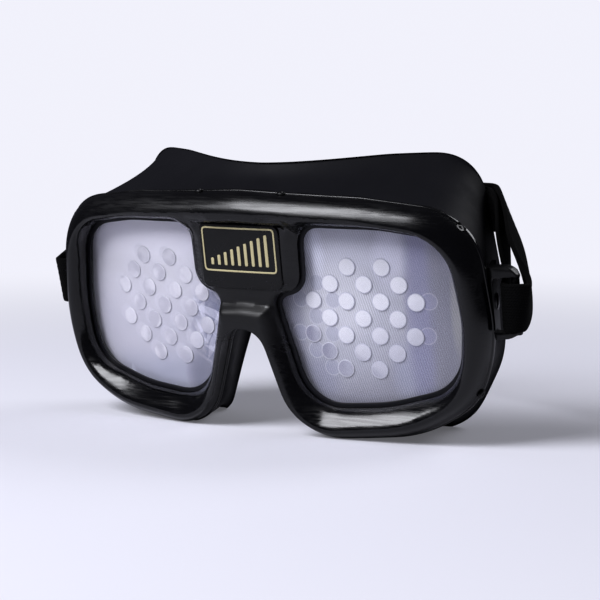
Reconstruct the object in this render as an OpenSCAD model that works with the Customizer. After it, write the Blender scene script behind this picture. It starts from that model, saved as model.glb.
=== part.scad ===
// Alcohol impairment goggles: a hard glossy bezel snapped on a soft skirt, with a
// hazy lens, grooved films and pale discs that spoil the wearer's view, and an
// elastic strap on side brackets. X is the wearer's left to right as seen from the
// front, Y runs from the front to the face, and Z is up. Shapes are drawn with the
// face upright, then leaned forward onto the table as the goggles stand.

/* [Front] */
// Half of the width over the rim
half_w = 86; // [82:0.5:92]
// Height of the rim over the eye line at the brow
brow_h = 41.1; // [39.5:0.1:44]
// Depth of the cheek lobes below the eye line
lobe_drop = 43.6; // [42:0.1:47]
// Radius of the curved front, seen from above
front_r = 337; // [300:1:400]
// Forward lean of the face as it stands
lean = 9.5; // [8:0.1:11]
// Height of the eye line over the table
eye_h = 40.9; // [40.5:0.1:42]

/* [Bezel] */
// How far the crest stands in front of the lens openings
crest_h = 6; // [4.5:0.1:7.5]
// How far the rim's back edge lies behind the lens openings
rim_back = 2.4; // [2:0.1:3.4]
// Width of the rounded shoulder over the brow
shoulder_top = 6.2; // [5:0.1:7.5]
// Width of the rounded shoulder at the temples
shoulder_side = 4.6; // [3.6:0.1:5.6]
// Width of the rounded shoulder under the lobes
shoulder_low = 4; // [3:0.1:5]
// Width of the inner bevel from the crest to a lens opening
bevel_w = 4.6; // [4:0.1:5.4]
// Wall of the bezel's rim
rim_wall = 1.8; // [1.5:0.1:2]
// Flat width left on the crest
crest_flat = 0.8; // [0.5:0.1:1.2]
// Drop of the nose arch's roof below the eye line
arch_drop = 4; // [2.5:0.1:6]
// How far the badge panel stands in front of the lens openings
panel_h = 2; // [1.5:0.1:3]

/* [Lens pack] */
// Thickness of the lip that the gaskets press on
lip_t = 1.2; // [1:0.1:1.6]
// Thickness of a gasket
gasket_t = 0.7; // [0.5:0.1:1]
// How far a gasket shows inside its opening
gasket_show = 1.4; // [1:0.1:1.8]
// Thickness of the cover lens
lens_t = 2.2; // [1.8:0.1:2.6]
// Thickness of a groove film
film_t = 0.4; // [0.3:0.05:0.6]
// Thickness of a disc
disc_t = 0.3; // [0.2:0.05:0.5]
// Diameter of a disc
disc_d = 6; // [5:0.1:6.2]
// Distance between the columns of discs
disc_pitch_x = 6.05; // [5.9:0.05:6.2]
// Distance between the discs in one column
disc_pitch_z = 11.5; // [11:0.1:12]
// Thickness of the carrier's plate
carrier_t = 2; // [1.6:0.1:2.6]

/* [Badge] */
// Width of the badge plate
badge_w = 31.6; // [28:0.1:32.5]
// Height of the badge plate
badge_h = 21.8; // [18:0.1:22]
// Thickness of the badge plate
badge_t = 1.4; // [1.2:0.1:1.8]
// Corner radius of the badge plate
badge_r = 2.4; // [1.5:0.1:3]

/* [Skirt] */
// Wall of the skirt
skirt_t = 2; // [1.6:0.1:2.4]
// Depth of the skirt's back edge at the middle of the brow
brow_depth = 16; // [14:0.5:20]
// Depth of the skirt's back edge at the temples
temple_depth = 45; // [42:0.5:48]
// Height of the flare along the skirt's back edge
flare_h = 3.4; // [2.5:0.1:4]
// Width of a vent slot
vent_w = 8.4; // [6:0.1:9.5]
// Opening of a vent slot
vent_gap = 1; // [0.7:0.1:1.4]

/* [Strap] */
// Width of the webbing
web_w = 16; // [14:0.5:16.5]
// Thickness of the webbing
web_t = 1.5; // [1.2:0.1:1.6]
// Diameter of a bracket's bar
bar_d = 2.8; // [2.4:0.1:3.2]
// Thickness of a bracket's upper arm
arm_t = 3.6; // [2.6:0.1:4]
// Thickness of a bracket's lower arm
low_arm_t = 2.2; // [2:0.1:3]
// Clear height between a bracket's arms
arm_gap = 18; // [18:0.1:20]
// Diameter of a bracket rivet's shank
rivet_d = 3; // [2.4:0.1:3.6]
// Length of a slider along the webbing
slider_l = 9; // [8:0.1:10]
// Wall of a slider's frame
slider_wall = 1.8; // [1.4:0.1:2.2]

/* [Hidden] */

// Steps of each corner's arc, and points added along each straight stretch
arc_n = 4;
straight_n = 2;
// Facets of the big cylinders that curve the front, and of small round parts
curve_fn = 360;
small_fn = 32;
// A length past every surface, for cuts
far = 60;
// How far the middle of the whole lies behind the lens openings' middle
mid_depth = 32.6;
// How far the facets of a curved mesh may stand off its true curve
facet_gap = 0.05;
// Clearance between parts that only touch, and round a part in its recess
touch = 0.1;
ease = 0.2;

// Small functions

function sag(x, d = 0) = front_r - sqrt(pow(front_r - d, 2) - x * x);
function unit(v) = v / norm(v);
function mix(a, b, t) = a + (b - a) * t;
function xz(c) = [c[0], c[1]];

// The arc at corner i of an outline whose corners are [x, z, radius]
function corner_arc(p, i) =
    let(
        n = len(p),
        at = xz(p[i]),
        before = xz(p[(i + n - 1) % n]) - at,
        after = xz(p[(i + 1) % n]) - at,
        half = acos(unit(before) * unit(after)) / 2,
        run = min(p[i][2] / tan(half), 0.48 * norm(before), 0.48 * norm(after)),
        r = run * tan(half),
        centre = at + unit(unit(before) + unit(after)) * r / sin(half),
        first = at + unit(before) * run - centre,
        last = at + unit(after) * run - centre,
        sweep = 180 - 2 * half
    )
    [for (k = [0 : arc_n])
        centre + (sin(sweep * (1 - k / arc_n)) * first + sin(sweep * k / arc_n) * last) / sin(sweep)];

// A closed loop of points: every corner's arc, and the straight stretches between
function loop(p) =
    let(n = len(p), arcs = [for (i = [0 : n - 1]) corner_arc(p, i)])
    [for (i = [0 : n - 1]) each concat(
        arcs[i],
        [for (k = [1 : straight_n])
            mix(arcs[i][arc_n], arcs[(i + 1) % n][0], k / (straight_n + 1))])];

// Half an outline, from the top middle to the bottom middle, closed by its mirror image
function both_halves(h) =
    concat(h, [for (i = [len(h) - 2 : -1 : 1]) [-h[i][0], h[i][1], h[i][2]]]);

// A clockwise loop moved inwards by w, or outwards where w is negative
function inset(p, w) =
    let(n = len(p))
    [for (i = [0 : n - 1])
        let(t = unit(p[(i + 1) % n] - p[(i + n - 1) % n]))
        p[i] + w * [t[1], -t[0]]];

// A loop laid on the curved front, d behind it, or on a flat plane across Y
function wrap(p, d) = [for (q = p) [q[0], sag(q[0]) + d, q[1]]];
function flat(p, y) = [for (q = p) [q[0], y, q[1]]];

// Outlines

// Corners of the rim, from the brow's middle round the temple to the nose
rim_half = [
    [0, brow_h, 60],
    [half_w - 41, brow_h - 2, 60],
    [half_w - 4.5, brow_h - 7.2, 22],
    [half_w, -8.3, 60],
    [half_w - 6.8, 14.4 - lobe_drop, 22],
    [half_w - 25.3, 3.4 - lobe_drop, 60],
    [20.5, -lobe_drop, 18],
    [8, -3 - arch_drop, 8],
    [0, -arch_drop, 8]];
// How much of each shoulder width applies at each of those corners
shoulder_share = [[0, 1, 0], [0, 1, 0], [1, 1, 0], [1, 0, 0], [0.6, 0, 0.4], [0.6, 0, 1],
    [0.6, 0, 0.95], [0.1, 0, 0], [0, 0, 0]];
crest_half = [for (i = [0 : len(rim_half) - 1])
    let(c = rim_half[i], s = shoulder_share[i])
    [c[0] - s[0] * shoulder_side,
        c[1] - s[1] * shoulder_top + s[2] * shoulder_low,
        c[2]]];
rim_loop = loop(both_halves(rim_half));
crest_loop = loop(both_halves(crest_half));

// Corners of the right lens opening, from its inner top corner
crest_x = half_w - shoulder_side;
crest_top = brow_h - shoulder_top;
crest_low = lobe_drop - shoulder_low;
panel_half_w = 16.6;
opening_corners = [
    [panel_half_w + 4.5, crest_top - bevel_w, 7],
    [half_w - 36, crest_top - bevel_w - 0.7, 60],
    [crest_x - bevel_w - 4.4, crest_top - bevel_w - 4.4, 20],
    [crest_x - bevel_w - 0.4, -1, 60],
    [crest_x - bevel_w - 2.3, 15.6 - crest_low, 18],
    [half_w - 36.7, 8.9 - crest_low, 60],
    [20.1, 7 - crest_low, 16],
    [9.6, 5.2, 4.5],
    [panel_half_w + 4.1, 8.7, 6]];
opening_loop = loop(opening_corners);
// The same corners where the inner bevel meets the crest
bevel_corners = [
    [8, crest_top - crest_flat, 5],
    [half_w - 41, crest_top - crest_flat - 2, 60],
    [crest_x - crest_flat - 4.5, crest_top - crest_flat - 7.2, 20],
    [crest_x - crest_flat, -8.3, 60],
    [half_w - 9.5 - crest_flat, 16 - lobe_drop + crest_flat, 20],
    [half_w - 28, 7.4 - lobe_drop + crest_flat, 60],
    [18.6, 4.6 - lobe_drop, 18],
    [8.2, -3 - arch_drop, 6],
    [7.4, crest_flat - arch_drop, 4]];
bevel_loop = loop(bevel_corners);

// Depths behind the openings of the lens pack's faces
gasket_y = lip_t + facet_gap;
lens_y = gasket_y + gasket_t;
disc_y = lens_y + lens_t;
film_y = disc_y + disc_t + touch;
carrier_y = film_y + film_t + touch;
// Insets from the rim of what fits inside it, each inside the one before
neck_in = rim_wall + ease;
neck_t = 1.3;
pack_in = neck_in + neck_t + ease;
// How much narrower the skirt and the lens pack are than the bezel at each temple
tuck = 1.8;
function tucked(p) = [for (q = p) [q[0] * (1 - tuck / half_w), q[1]]];

// Solids made from loops

// A skin over rings of points, from the front ring to the back one
module skin(rings, ring_shaped = false) {
    n = len(rings[0]);
    m = len(rings);
    spans = ring_shaped ? m : m - 1;
    points = [for (r = rings) each r];
    sides = [for (j = [0 : spans - 1], i = [0 : n - 1])
        let(a = j * n + i, b = j * n + (i + 1) % n, c = ((j + 1) % m) * n + i,
            d = ((j + 1) % m) * n + (i + 1) % n)
        each [[a, c, d], [a, d, b]]];
    caps = ring_shaped ? [] :
        [[for (i = [0 : n - 1]) i], [for (i = [n - 1 : -1 : 0]) (m - 1) * n + i]];
    polyhedron(points, concat(sides, caps), convexity = 8);
}

// Everything behind the surface that lies d behind the openings
module behind(d) {
    translate([0, front_r, -far])
        cylinder(r = front_r - d, h = 2 * far, $fn = curve_fn);
}

// A plate of a flat outline, bent to the front's curve between two depths
module bent_plate(d0, d1) {
    intersection() {
        translate([0, far, 0])
            rotate([90, 0, 0])
                linear_extrude(2 * far)
                    children();
        difference() {
            behind(d0);
            behind(d1);
        }
    }
}

// What is drawn with the face upright, leaned forward and lifted onto the table, with
// the origin under the middle of the whole
module stand() {
    translate([0, -mid_depth, eye_h])
        rotate([lean, 0, 0])
            children();
}

// The same, cut flat where it meets the table, as one mesh
module stand_cut() {
    resize([0, 0, 0])
        difference() {
            stand()
                children();
            translate([-2 * far, -2 * far, -2 * far])
                cube([4 * far, 4 * far, 2 * far]);
        }
}

// A piece on the right, or its mirror image on the left
module on_side(side) {
    if (side > 0)
        children();
    else
        mirror([1, 0, 0])
            children();
}

// Bezel

// Rings of the rounded shoulder, from the crest back to the bead along the rim
bead_h = 0.4;
bead_loop = inset(rim_loop, bead_h);
shoulder_rings = [for (a = [0, 30, 60, 90])
    let(out = 0.35 * a / 90 + 0.65 * sin(a), back = 0.35 * a / 90 + 0.65 * (1 - cos(a)))
    [for (i = [0 : len(rim_loop) - 1])
        let(p = mix(crest_loop[i], bead_loop[i], out))
        [p[0], sag(p[0]) + mix(-crest_h, 0.6, back), p[1]]]];

module bezel_block() {
    intersection() {
        skin(concat([flat(crest_loop, -far)], shoulder_rings, [wrap(rim_loop, 0.8), flat(rim_loop, far)]));
        difference() {
            behind(-crest_h);
            behind(rim_back);
        }
    }
}

// The sloped pocket over the right eye, and the opening behind it
module eye_pocket(grow = 0) {
    skin([
        flat(inset(bevel_loop, -grow), -far),
        wrap(inset(bevel_loop, -grow), -crest_h - touch),
        wrap(inset(opening_loop, -grow), 0),
        flat(inset(opening_loop, -grow), far)]);
}

// The hollow between the two eyes that the badge panel is the floor of
panel_top = crest_top - bevel_w + 0.4;
panel_low = 2.8;
module panel_pocket() {
    front = loop(both_halves([[0, crest_top - crest_flat, 40], [18, crest_top - 1.5, 1],
        [17, -5, 4], [0, crest_flat - arch_drop, 8]]));
    floor = loop(both_halves([[0, panel_top, 40], [panel_half_w + 1.5, panel_top - 0.7, 1],
        [panel_half_w + 1.5, panel_low - 1.4, 4], [0, panel_low, 20]]));
    difference() {
        skin([flat(front, -far), wrap(front, -crest_h - touch), wrap(floor, -panel_h), flat(floor, far)]);
        behind(-panel_h);
    }
}

badge_z = panel_top - 0.7 - badge_h / 2;
module round_rect(w, h, r) {
    square([w - 2 * r, h], center = true);
    square([w, h - 2 * r], center = true);
    for (sx = [-1, 1], sz = [-1, 1])
        translate([sx * (w / 2 - r), sz * (h / 2 - r)])
            circle(r, $fn = small_fn);
}

module badge_outline(grow = 0) {
    translate([0, badge_z])
        round_rect(badge_w + 2 * grow, badge_h + 2 * grow, badge_r + grow);
}

// The seat behind the lip for the lens pack and the skirt's neck
module rim_seat() {
    intersection() {
        skin([flat(inset(rim_loop, rim_wall), -far), flat(inset(rim_loop, rim_wall), far)]);
        behind(lip_t);
    }
}

// The groove behind the shoulder that keeps the moulding's wall even
module shoulder_groove() {
    difference() {
        intersection() {
            skin([
                flat(inset(crest_loop, crest_flat), -far),
                wrap(inset(crest_loop, crest_flat), rim_wall - crest_h),
                wrap(inset(rim_loop, rim_wall), 1),
                flat(inset(rim_loop, rim_wall), far)]);
            behind(1.4 * rim_wall - crest_h);
            difference() {
                translate([-2 * far, -far, -lobe_drop + 14])
                    cube([4 * far, 2 * far, 2 * far]);
                translate([-panel_half_w - 8, -far, -far])
                    cube([2 * panel_half_w + 16, 2 * far, 2 * far]);
            }
        }
        for (side = [-1, 1])
            on_side(side)
                eye_pocket(rim_wall);
    }
}

// Rim pins on the right half: [x, z, direction in degrees from +X]. Each spot lies
// pin_sink under the rim, where the pin's head sits in a counterbore.
pin_spots = [
    [16.3, brow_h - 1.7, 87],
    [half_w - 9.8, brow_h - 12.7, 45],
    [half_w - 6.6, 18.4 - lobe_drop, -24]];
pin_sink = 1.5;
pin_d = 2.2;
pin_head_d = 3.1;
pin_depth = 0.9;
pin_in = rim_wall + ease + neck_t - pin_sink;

module rim_pin_place(spot) {
    translate([spot[0], sag(spot[0]) + pin_depth, spot[1]])
        rotate([0, 90 - spot[2], 0])
            children();
}

module front_bezel() {
    color([0.05, 0.05, 0.055])
        stand_cut()
            difference() {
                bezel_block();
                for (side = [-1, 1])
                    on_side(side)
                        eye_pocket();
                panel_pocket();
                bent_plate(-panel_h - touch, badge_t / 2 - panel_h)
                    badge_outline(2 * ease);
                rim_seat();
                shoulder_groove();
                for (side = [-1, 1], spot = pin_spots)
                    on_side(side)
                        rim_pin_place(spot) {
                            translate([0, 0, -pin_in - 1])
                                cylinder(d = pin_d + 2 * touch, h = pin_in + 3, $fn = 16);
                            translate([0, 0, 0.3])
                                cylinder(d = pin_head_d + 2 * ease, h = 6, $fn = 16);
                        }
            }
}

module badge_plate() {
    color([0.06, 0.06, 0.06])
        stand()
            bent_plate(-badge_t / 2 - panel_h, badge_t / 2 - panel_h - touch)
                badge_outline();
}

// A plain frame and a row of rising bars, raised on the badge over a bare strip
inlay_t = 0.25;
inlay_line = 0.6;
inlay_side = 1.3;
inlay_top = 1;
inlay_low = 5.6;
inlay_h = badge_h - inlay_top - inlay_low;
inlay_bars = 9;
bar_pitch = (badge_w - 7) / inlay_bars;
bar_foot = 2.2; // Over the frame's lower edge
bar_least = 2.4;
module inlay_outline(grow = 0) {
    round_rect(badge_w - 2 * inlay_side + 2 * grow, inlay_h + 2 * grow, badge_r - 1 + grow);
}

module badge_inlay() {
    color([0.78, 0.72, 0.5])
        stand()
            bent_plate(-badge_t / 2 - panel_h - inlay_t, -badge_t / 2 - panel_h)
                translate([0, badge_z + (inlay_low - inlay_top) / 2]) {
                    difference() {
                        inlay_outline();
                        inlay_outline(-inlay_line);
                    }
                    for (i = [0 : inlay_bars - 1])
                        translate([(i - (inlay_bars - 1) / 2) * bar_pitch - inlay_line, bar_foot - inlay_h / 2])
                            square([2 * inlay_line,
                                mix(bar_least, inlay_h - 2 * bar_foot, i / (inlay_bars - 1))]);
                }
}

module rim_snap_pins() {
    color([0.09, 0.09, 0.09])
        stand()
            for (side = [-1, 1], spot = pin_spots)
                on_side(side)
                    rim_pin_place(spot) {
                        translate([0, 0, -pin_in])
                            cylinder(d = pin_d, h = pin_in + 1, $fn = small_fn);
                        translate([0, 0, 0.4])
                            cylinder(d = pin_head_d, h = 0.7, $fn = small_fn);
                    }
}

// Lens pack

// How far the gaskets and films lap behind the lip
pack_lap = 0.5;

module right_gasket() {
    bent_plate(gasket_y, lens_y)
        difference() {
            polygon(inset(opening_loop, -pack_lap));
            polygon(inset(opening_loop, gasket_show));
        }
}

module right_film() {
    bent_plate(film_y, film_y + film_t)
        polygon(inset(opening_loop, -pack_lap));
}

// Columns of the staggered grid: how many discs each one holds
disc_columns = [2, 3, 4, 3, 4, 3, 2];
disc_centre = [half_w - 45.8, -2];
disc_tilt = 5.5;

module right_discs() {
    last = len(disc_columns) - 1;
    for (c = [0 : last], k = [0 : disc_columns[c] - 1]) {
        up = (k - (disc_columns[c] - 1) / 2) * disc_pitch_z;
        across = (c - last / 2) * disc_pitch_x;
        x = disc_centre[0] + across + up * tan(disc_tilt);
        z = disc_centre[1] + up;
        at = disc_y + 0.03;
        translate([x, sag(x, at), z])
            rotate([-90, 0, asin(x / (front_r - at))])
                cylinder(d = disc_d, h = disc_t, $fn = small_fn);
    }
}

module cover_lens() {
    color([0.82, 0.82, 0.9, 0.5])
        stand()
            bent_plate(lens_y, disc_y)
                polygon(tucked(inset(rim_loop, pack_in)));
}

module lens_carrier() {
    color([0.12, 0.12, 0.12])
        stand()
            bent_plate(carrier_y, carrier_y + carrier_t)
                difference() {
                    polygon(tucked(inset(rim_loop, pack_in)));
                    for (side = [-1, 1])
                        on_side(side)
                            polygon(inset(opening_loop, 0.4));
                }
}

module left_groove_film() color([0.86, 0.86, 0.94, 0.5]) stand() on_side(-1) right_film();
module right_groove_film() color([0.86, 0.86, 0.94, 0.5]) stand() right_film();
module left_disc_set() color([0.95, 0.95, 0.98]) stand() on_side(-1) right_discs();
module right_disc_set() color([0.95, 0.95, 0.98]) stand() right_discs();
module left_lens_gasket() color([0.3, 0.3, 0.33]) stand() on_side(-1) right_gasket();
module right_lens_gasket() color([0.3, 0.3, 0.33]) stand() right_gasket();

// Skirt

// Corners of the skirt's back edge, in the same order as the rim's
back_half = [
    [0, brow_h + 6.2, 60],
    [half_w - 46, brow_h + 6.8, 60],
    [half_w - 19, brow_h + 5.5, 21],
    [half_w - 13.8, 4, 60],
    [half_w - 13.9, 21.6 - lobe_drop, 34],
    [half_w - 28.5, -lobe_drop - 6, 22],
    [33, -lobe_drop - 4.4, 16],
    [14.6, -14, 9],
    [0, 4, 9]];
back_loop = loop(both_halves(back_half));

// Depth of the back edge, which follows the face and reaches further back at the nose
nose_reach = 3.4;
function face_y(q) =
    let(out = min(abs(q[0]) / (half_w - 10), 1), low = min(max((2 - q[1]) / 12, 0), 1))
    mix(brow_depth, temple_depth, (1 - cos(180 * out)) / 2) + nose_reach * low * (1 - out);

// A ring of the skirt's wall: s runs from the rim to the back edge, t is the wall's depth in it
front_ring = tucked(inset(rim_loop, 0.5));
slim_ring = inset(back_loop, flare_h);
function wall_ring(s, t) =
    let(ring = [for (i = [0 : len(rim_loop) - 1])
        mix(front_ring[i], slim_ring[i], pow(s, 1.4)) + (back_loop[i] - slim_ring[i]) * pow(s, 5)],
        moved = inset(ring, t))
    [for (i = [0 : len(rim_loop) - 1])
        let(q = moved[i], y0 = sag(front_ring[i][0]) + rim_back + ease)
        [q[0], mix(y0, face_y(back_loop[i]), s), q[1]]];

wall_steps = [0.22, 0.45, 0.65, 0.8, 0.91, 1];
neck_inside = tucked(inset(rim_loop, neck_in + neck_t));
skirt_rings = concat(
    [wrap(inset(rim_loop, neck_in), lip_t + ease),
        wrap(inset(rim_loop, neck_in), rim_back + ease),
        wall_ring(0, 0)],
    [for (s = wall_steps) wall_ring(s, 0)],
    [for (s = [1, 0.91, 0.8, 0.45]) wall_ring(s, skirt_t)],
    [wrap(neck_inside, carrier_y + carrier_t + 2 * ease),
        wrap(neck_inside, lip_t + ease)]);

// Middles of the vent slots on the right half
vent_spots = [7.7, 24.6, 41, 58.5];

module face_skirt() {
    color([0.1, 0.1, 0.11])
        stand_cut()
            difference() {
                union() {
                    skin(skirt_rings, true);
                    for (side = [-1, 1])
                        on_side(side)
                            bracket_pad();
                }
                for (side = [-1, 1], x = vent_spots)
                    translate([side * x, sag(x) + rim_back + 1.2, brow_h - x * x / 900])
                        cube([vent_w, vent_gap, 9], center = true);
                for (side = [-1, 1])
                    on_side(side) {
                        bracket_foot(ease);
                        rivet_hole();
                        washer_seat();
                        for (spot = pin_spots)
                            rim_pin_place(spot)
                                cylinder(d = pin_d + 2 * ease, h = 9, center = true, $fn = 16);
                    }
            }
}

// Strap brackets

// The bar's middle in plan, and the height of the bracket's middle and of the strap's
bar_out = 4.1;
bar_behind = 7.8;
bar_spot = [half_w + bar_out, sag(half_w) + bar_behind];
strap_z = 2.3;
bracket_z = strap_z + 0.3; // Halfway between the arms
bracket_low = bracket_z - arm_gap / 2 - low_arm_t;
bracket_h = arm_gap + arm_t + low_arm_t;
// Plan of the foot: its front end's outer face, and how it leans in towards the back
foot_sink = 1.9;
foot_gap = 1;
foot_x = half_w - foot_sink;
foot_t = 1.6;
foot_front = sag(half_w) + rim_back + foot_gap;
foot_l = 11;
foot_in = 3.7;
rivet_share = 0.6;

module foot_plan(grow = 0) {
    polygon([
        [foot_x + grow, foot_front - grow],
        [foot_x - foot_in + grow, foot_front + foot_l + grow],
        [foot_x - foot_in - foot_t - grow, foot_front + foot_l + grow],
        [foot_x - foot_t - grow, foot_front - grow]]);
}

// A foot's seat on the skirt has a flat pad behind it
pad_t = 1.3;
module bracket_pad() {
    translate([0, 0, bracket_low - 1.5])
        linear_extrude(bracket_h + 3)
            polygon([
                [foot_x - 2.2, foot_front - 0.8],
                [foot_x - foot_in - 2.5, foot_front + foot_l + 0.4],
                [foot_x - foot_in - foot_t - pad_t, foot_front + foot_l],
                [foot_x - foot_t - pad_t, foot_front]]);
}

module bracket_foot(grow = 0) {
    translate([0, 0, bracket_low - grow])
        linear_extrude(bracket_h + 2 * grow)
            foot_plan(grow);
}

// The arms' plan is a tongue from the front of the foot to the bar
bar_end_r = bar_d / 2 + 0.4;
module arm_plan() {
    union() {
        translate(bar_spot)
            circle(bar_end_r, $fn = small_fn);
        polygon([
            [foot_x - foot_t / 2, foot_front],
            [foot_x, foot_front],
            bar_spot - [0, bar_end_r],
            bar_spot + [0, bar_end_r],
            [foot_x - foot_in * 0.45 - foot_t / 2, foot_front + foot_l * 0.45]]);
    }
}

// The bracket seen from the front: square at the foot, well rounded past the bar
module bracket_front() {
    reach = bar_spot[0] + bar_end_r;
    round_r = 5.5;
    translate([0, bracket_low])
        union() {
            translate([reach - 30, 0])
                square([30 - round_r, bracket_h]);
            translate([reach - 30, round_r])
                square([30, bracket_h - 2 * round_r]);
            for (z = [round_r, bracket_h - round_r])
                translate([reach - round_r, z])
                    circle(round_r, $fn = small_fn);
        }
}

// A rivet's place, along the foot's normal from its outer face
module rivet_place() {
    translate([foot_x - foot_in * rivet_share, foot_front + foot_l * rivet_share, bracket_z])
        rotate([0, 0, atan(foot_in / foot_l)])
            rotate([0, 90, 0])
                children();
}

module rivet_hole() {
    rivet_place()
        translate([0, 0, -7])
            cylinder(d = rivet_d + 2 * touch, h = 9, $fn = small_fn);
}

module right_bracket() {
    difference() {
        union() {
            intersection() {
                union() {
                    translate([0, 0, bracket_low - 1])
                        linear_extrude(bracket_h + 2)
                            foot_plan();
                    for (arm = [[bracket_low - 1, low_arm_t + 1], [bracket_z + arm_gap / 2, arm_t + 1]])
                        translate([0, 0, arm[0]])
                            linear_extrude(arm[1])
                                arm_plan();
                }
                translate([0, far, 0])
                    rotate([90, 0, 0])
                        linear_extrude(2 * far)
                            bracket_front();
            }
            translate([bar_spot[0], bar_spot[1], bracket_z - arm_gap / 2 - touch])
                cylinder(d = bar_d, h = arm_gap + 2 * touch, $fn = small_fn);
        }
        rivet_hole();
    }
}

module left_strap_bracket() color([0.11, 0.11, 0.115]) stand() on_side(-1) right_bracket();
module right_strap_bracket() color([0.11, 0.11, 0.115]) stand() right_bracket();

// A rivet's head stands on the foot, its shank goes through foot and skirt, and its
// tail is set over a washer inside
head_t = 0.7;
head_d = rivet_d + 2.4;
tail_t = 0.5;
washer_t = 0.8;
washer_over = 1.7;
washer_d = rivet_d + 2 * washer_over;
washer_z = -foot_t - pad_t - washer_t;
module washer_seat() {
    rivet_place()
        translate([0, 0, washer_z - 4])
            cylinder(d = washer_d + 2 * ease, h = 4 + washer_t + touch, $fn = small_fn);
}

module bracket_rivets() {
    color([0.55, 0.55, 0.57])
        stand()
            for (side = [-1, 1])
                on_side(side)
                    rivet_place() {
                        translate([0, 0, touch / 2])
                            cylinder(d = head_d, h = head_t, $fn = small_fn);
                        translate([0, 0, washer_z - tail_t])
                            cylinder(d = rivet_d, h = tail_t + touch - washer_z, $fn = small_fn);
                    }
}

module rivet_washers() {
    color([0.6, 0.6, 0.62])
        stand()
            for (side = [-1, 1])
                on_side(side)
                    rivet_place()
                        translate([0, 0, washer_z])
                            difference() {
                                cylinder(d = washer_d, h = washer_t, $fn = small_fn);
                                translate([0, 0, -1])
                                    cylinder(d = rivet_d + 2 * touch, h = washer_t + 2, $fn = small_fn);
                            }
}

// Strap

// A point so far inside the rim's side and so far behind it, at height z
function temple(x, y, z) = [half_w - x, sag(half_w) + y, z];

// The straight stretch that the slider runs on, and the direction of the width there
run_front = temple(15, 37.6, 27);
run_back = temple(46, 55, 25);
run_dir = unit(run_back - run_front);
run_rise = [-0.12, -0.12, 0.97];
run_up = unit(run_rise - (run_rise * run_dir) * run_dir);
run_in = cross(run_up, run_dir);
// Distance between the two layers' middles, with the slider's divider between them
layer_step = web_t + 1.4;
// Half of the strap's loop round the bar, front to back and across
loop_room = 2.1;
loop_y = bar_d / 2 + loop_room + 1.3;
loop_x = bar_d / 2 + loop_room;
bar_x = bar_spot[0];
bar_y = bar_spot[1];

// The strap's right half, from the middle of the back, round the bar and back to its
// free end. Each station is the webbing's middle and the direction of its width.
strap_route = [
    [[0, sag(half_w) + 66.8, 21.2], [0, -0.2, 1]],
    [temple(73, 65.4, 21.6), [0, -0.2, 1]],
    [temple(59, 61, 23.4), [-0.05, -0.16, 1]],
    [run_back, run_up],
    [mix(run_back, run_front, 0.25), run_up],
    [mix(run_back, run_front, 0.75), run_up],
    [run_front, run_up],
    [temple(10.5, 33.8, 25.8), [-0.14, -0.3, 0.93]],
    [temple(5.6, 27.6, 21.7), [-0.12, -0.44, 0.88]],
    [temple(1.3, 21.2, 16.4), [-0.12, -0.5, 0.86]],
    [temple(-2.8, 16.2, 10.6), [-0.06, -0.4, 0.91]],
    [temple(-6.2, 12.2, 5.2), [0.06, -0.16, 0.98]],
    [[bar_x + loop_x + 0.4, bar_y - 0.4, strap_z], [0.17, 0, 1]],
    [[bar_x + loop_x * 0.76, bar_y - loop_y * 0.74, strap_z], [0.12, 0.04, 1]],
    [[bar_x, bar_y - loop_y, strap_z], [0.04, 0.04, 1]],
    [[bar_x - loop_x * 0.72, bar_y - loop_y * 0.74, strap_z], [0, 0, 1]],
    [[bar_x - loop_x - 0.6, bar_y - 0.4, strap_z], [0, 0, 1]],
    [temple(1.2, 13, 5), [0, -0.06, 1]],
    [temple(4, 17, 10.2), [-0.08, -0.14, 0.98]],
    [temple(6.6, 21.4, 15.6), [-0.12, -0.18, 0.97]],
    [temple(9.2, 26.8, 20.4), [-0.12, -0.2, 0.97]],
    [temple(12.2, 32.2, 24.6), [-0.13, -0.18, 0.97]],
    [run_front + layer_step * run_in, run_up],
    [mix(run_front, run_back, 0.25) + layer_step * run_in, run_up],
    [mix(run_front, run_back, 0.75) + layer_step * run_in, run_up],
    [mix(run_front, run_back, 1.12) + layer_step * run_in, run_up]];
web_steps = 4;

// A smooth curve through four points, t of the way from the second to the third
function through(a, b, c, d, t) =
    0.5 * (2 * b + (c - a) * t + (2 * a - 5 * b + 4 * c - d) * t * t
        + (3 * b - a - 3 * c + d) * t * t * t);

// The route of both halves, left end to right end, with points added between stations
function left_of(s) = [[-s[0][0], s[0][1], s[0][2]], [-s[1][0], s[1][1], s[1][2]]];
both_routes = concat([for (i = [len(strap_route) - 1 : -1 : 1]) left_of(strap_route[i])], strap_route);
web_path = let(r = both_routes, last = len(r) - 1)
    concat([for (i = [0 : last - 1], k = [0 : web_steps - 1])
        [for (f = [0, 1])
            through(r[max(i - 1, 0)][f], r[i][f], r[i + 1][f], r[min(i + 2, last)][f], k / web_steps)]],
        [r[last]]);

// The webbing's section at station i: thin, with eased edges
function web_ring(i) =
    let(
        last = len(web_path) - 1,
        ahead = unit(web_path[min(i + 1, last)][0] - web_path[max(i - 1, 0)][0]),
        up = unit(web_path[i][1]),
        side = unit(cross(up, ahead)),
        thick = web_t / 2,
        half = web_w / 2,
        ease_w = 0.35
    )
    [for (c = [[1, half - ease_w], [0.3, half], [-0.3, half], [-1, half - ease_w],
        [-1, ease_w - half], [-0.3, -half], [0.3, -half], [1, ease_w - half]])
        web_path[i][0] + c[0] * thick * side + c[1] * up];

module head_strap() {
    color([0.07, 0.07, 0.075])
        stand()
            skin([for (i = [0 : len(web_path) - 1]) web_ring(i)]);
}

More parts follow.
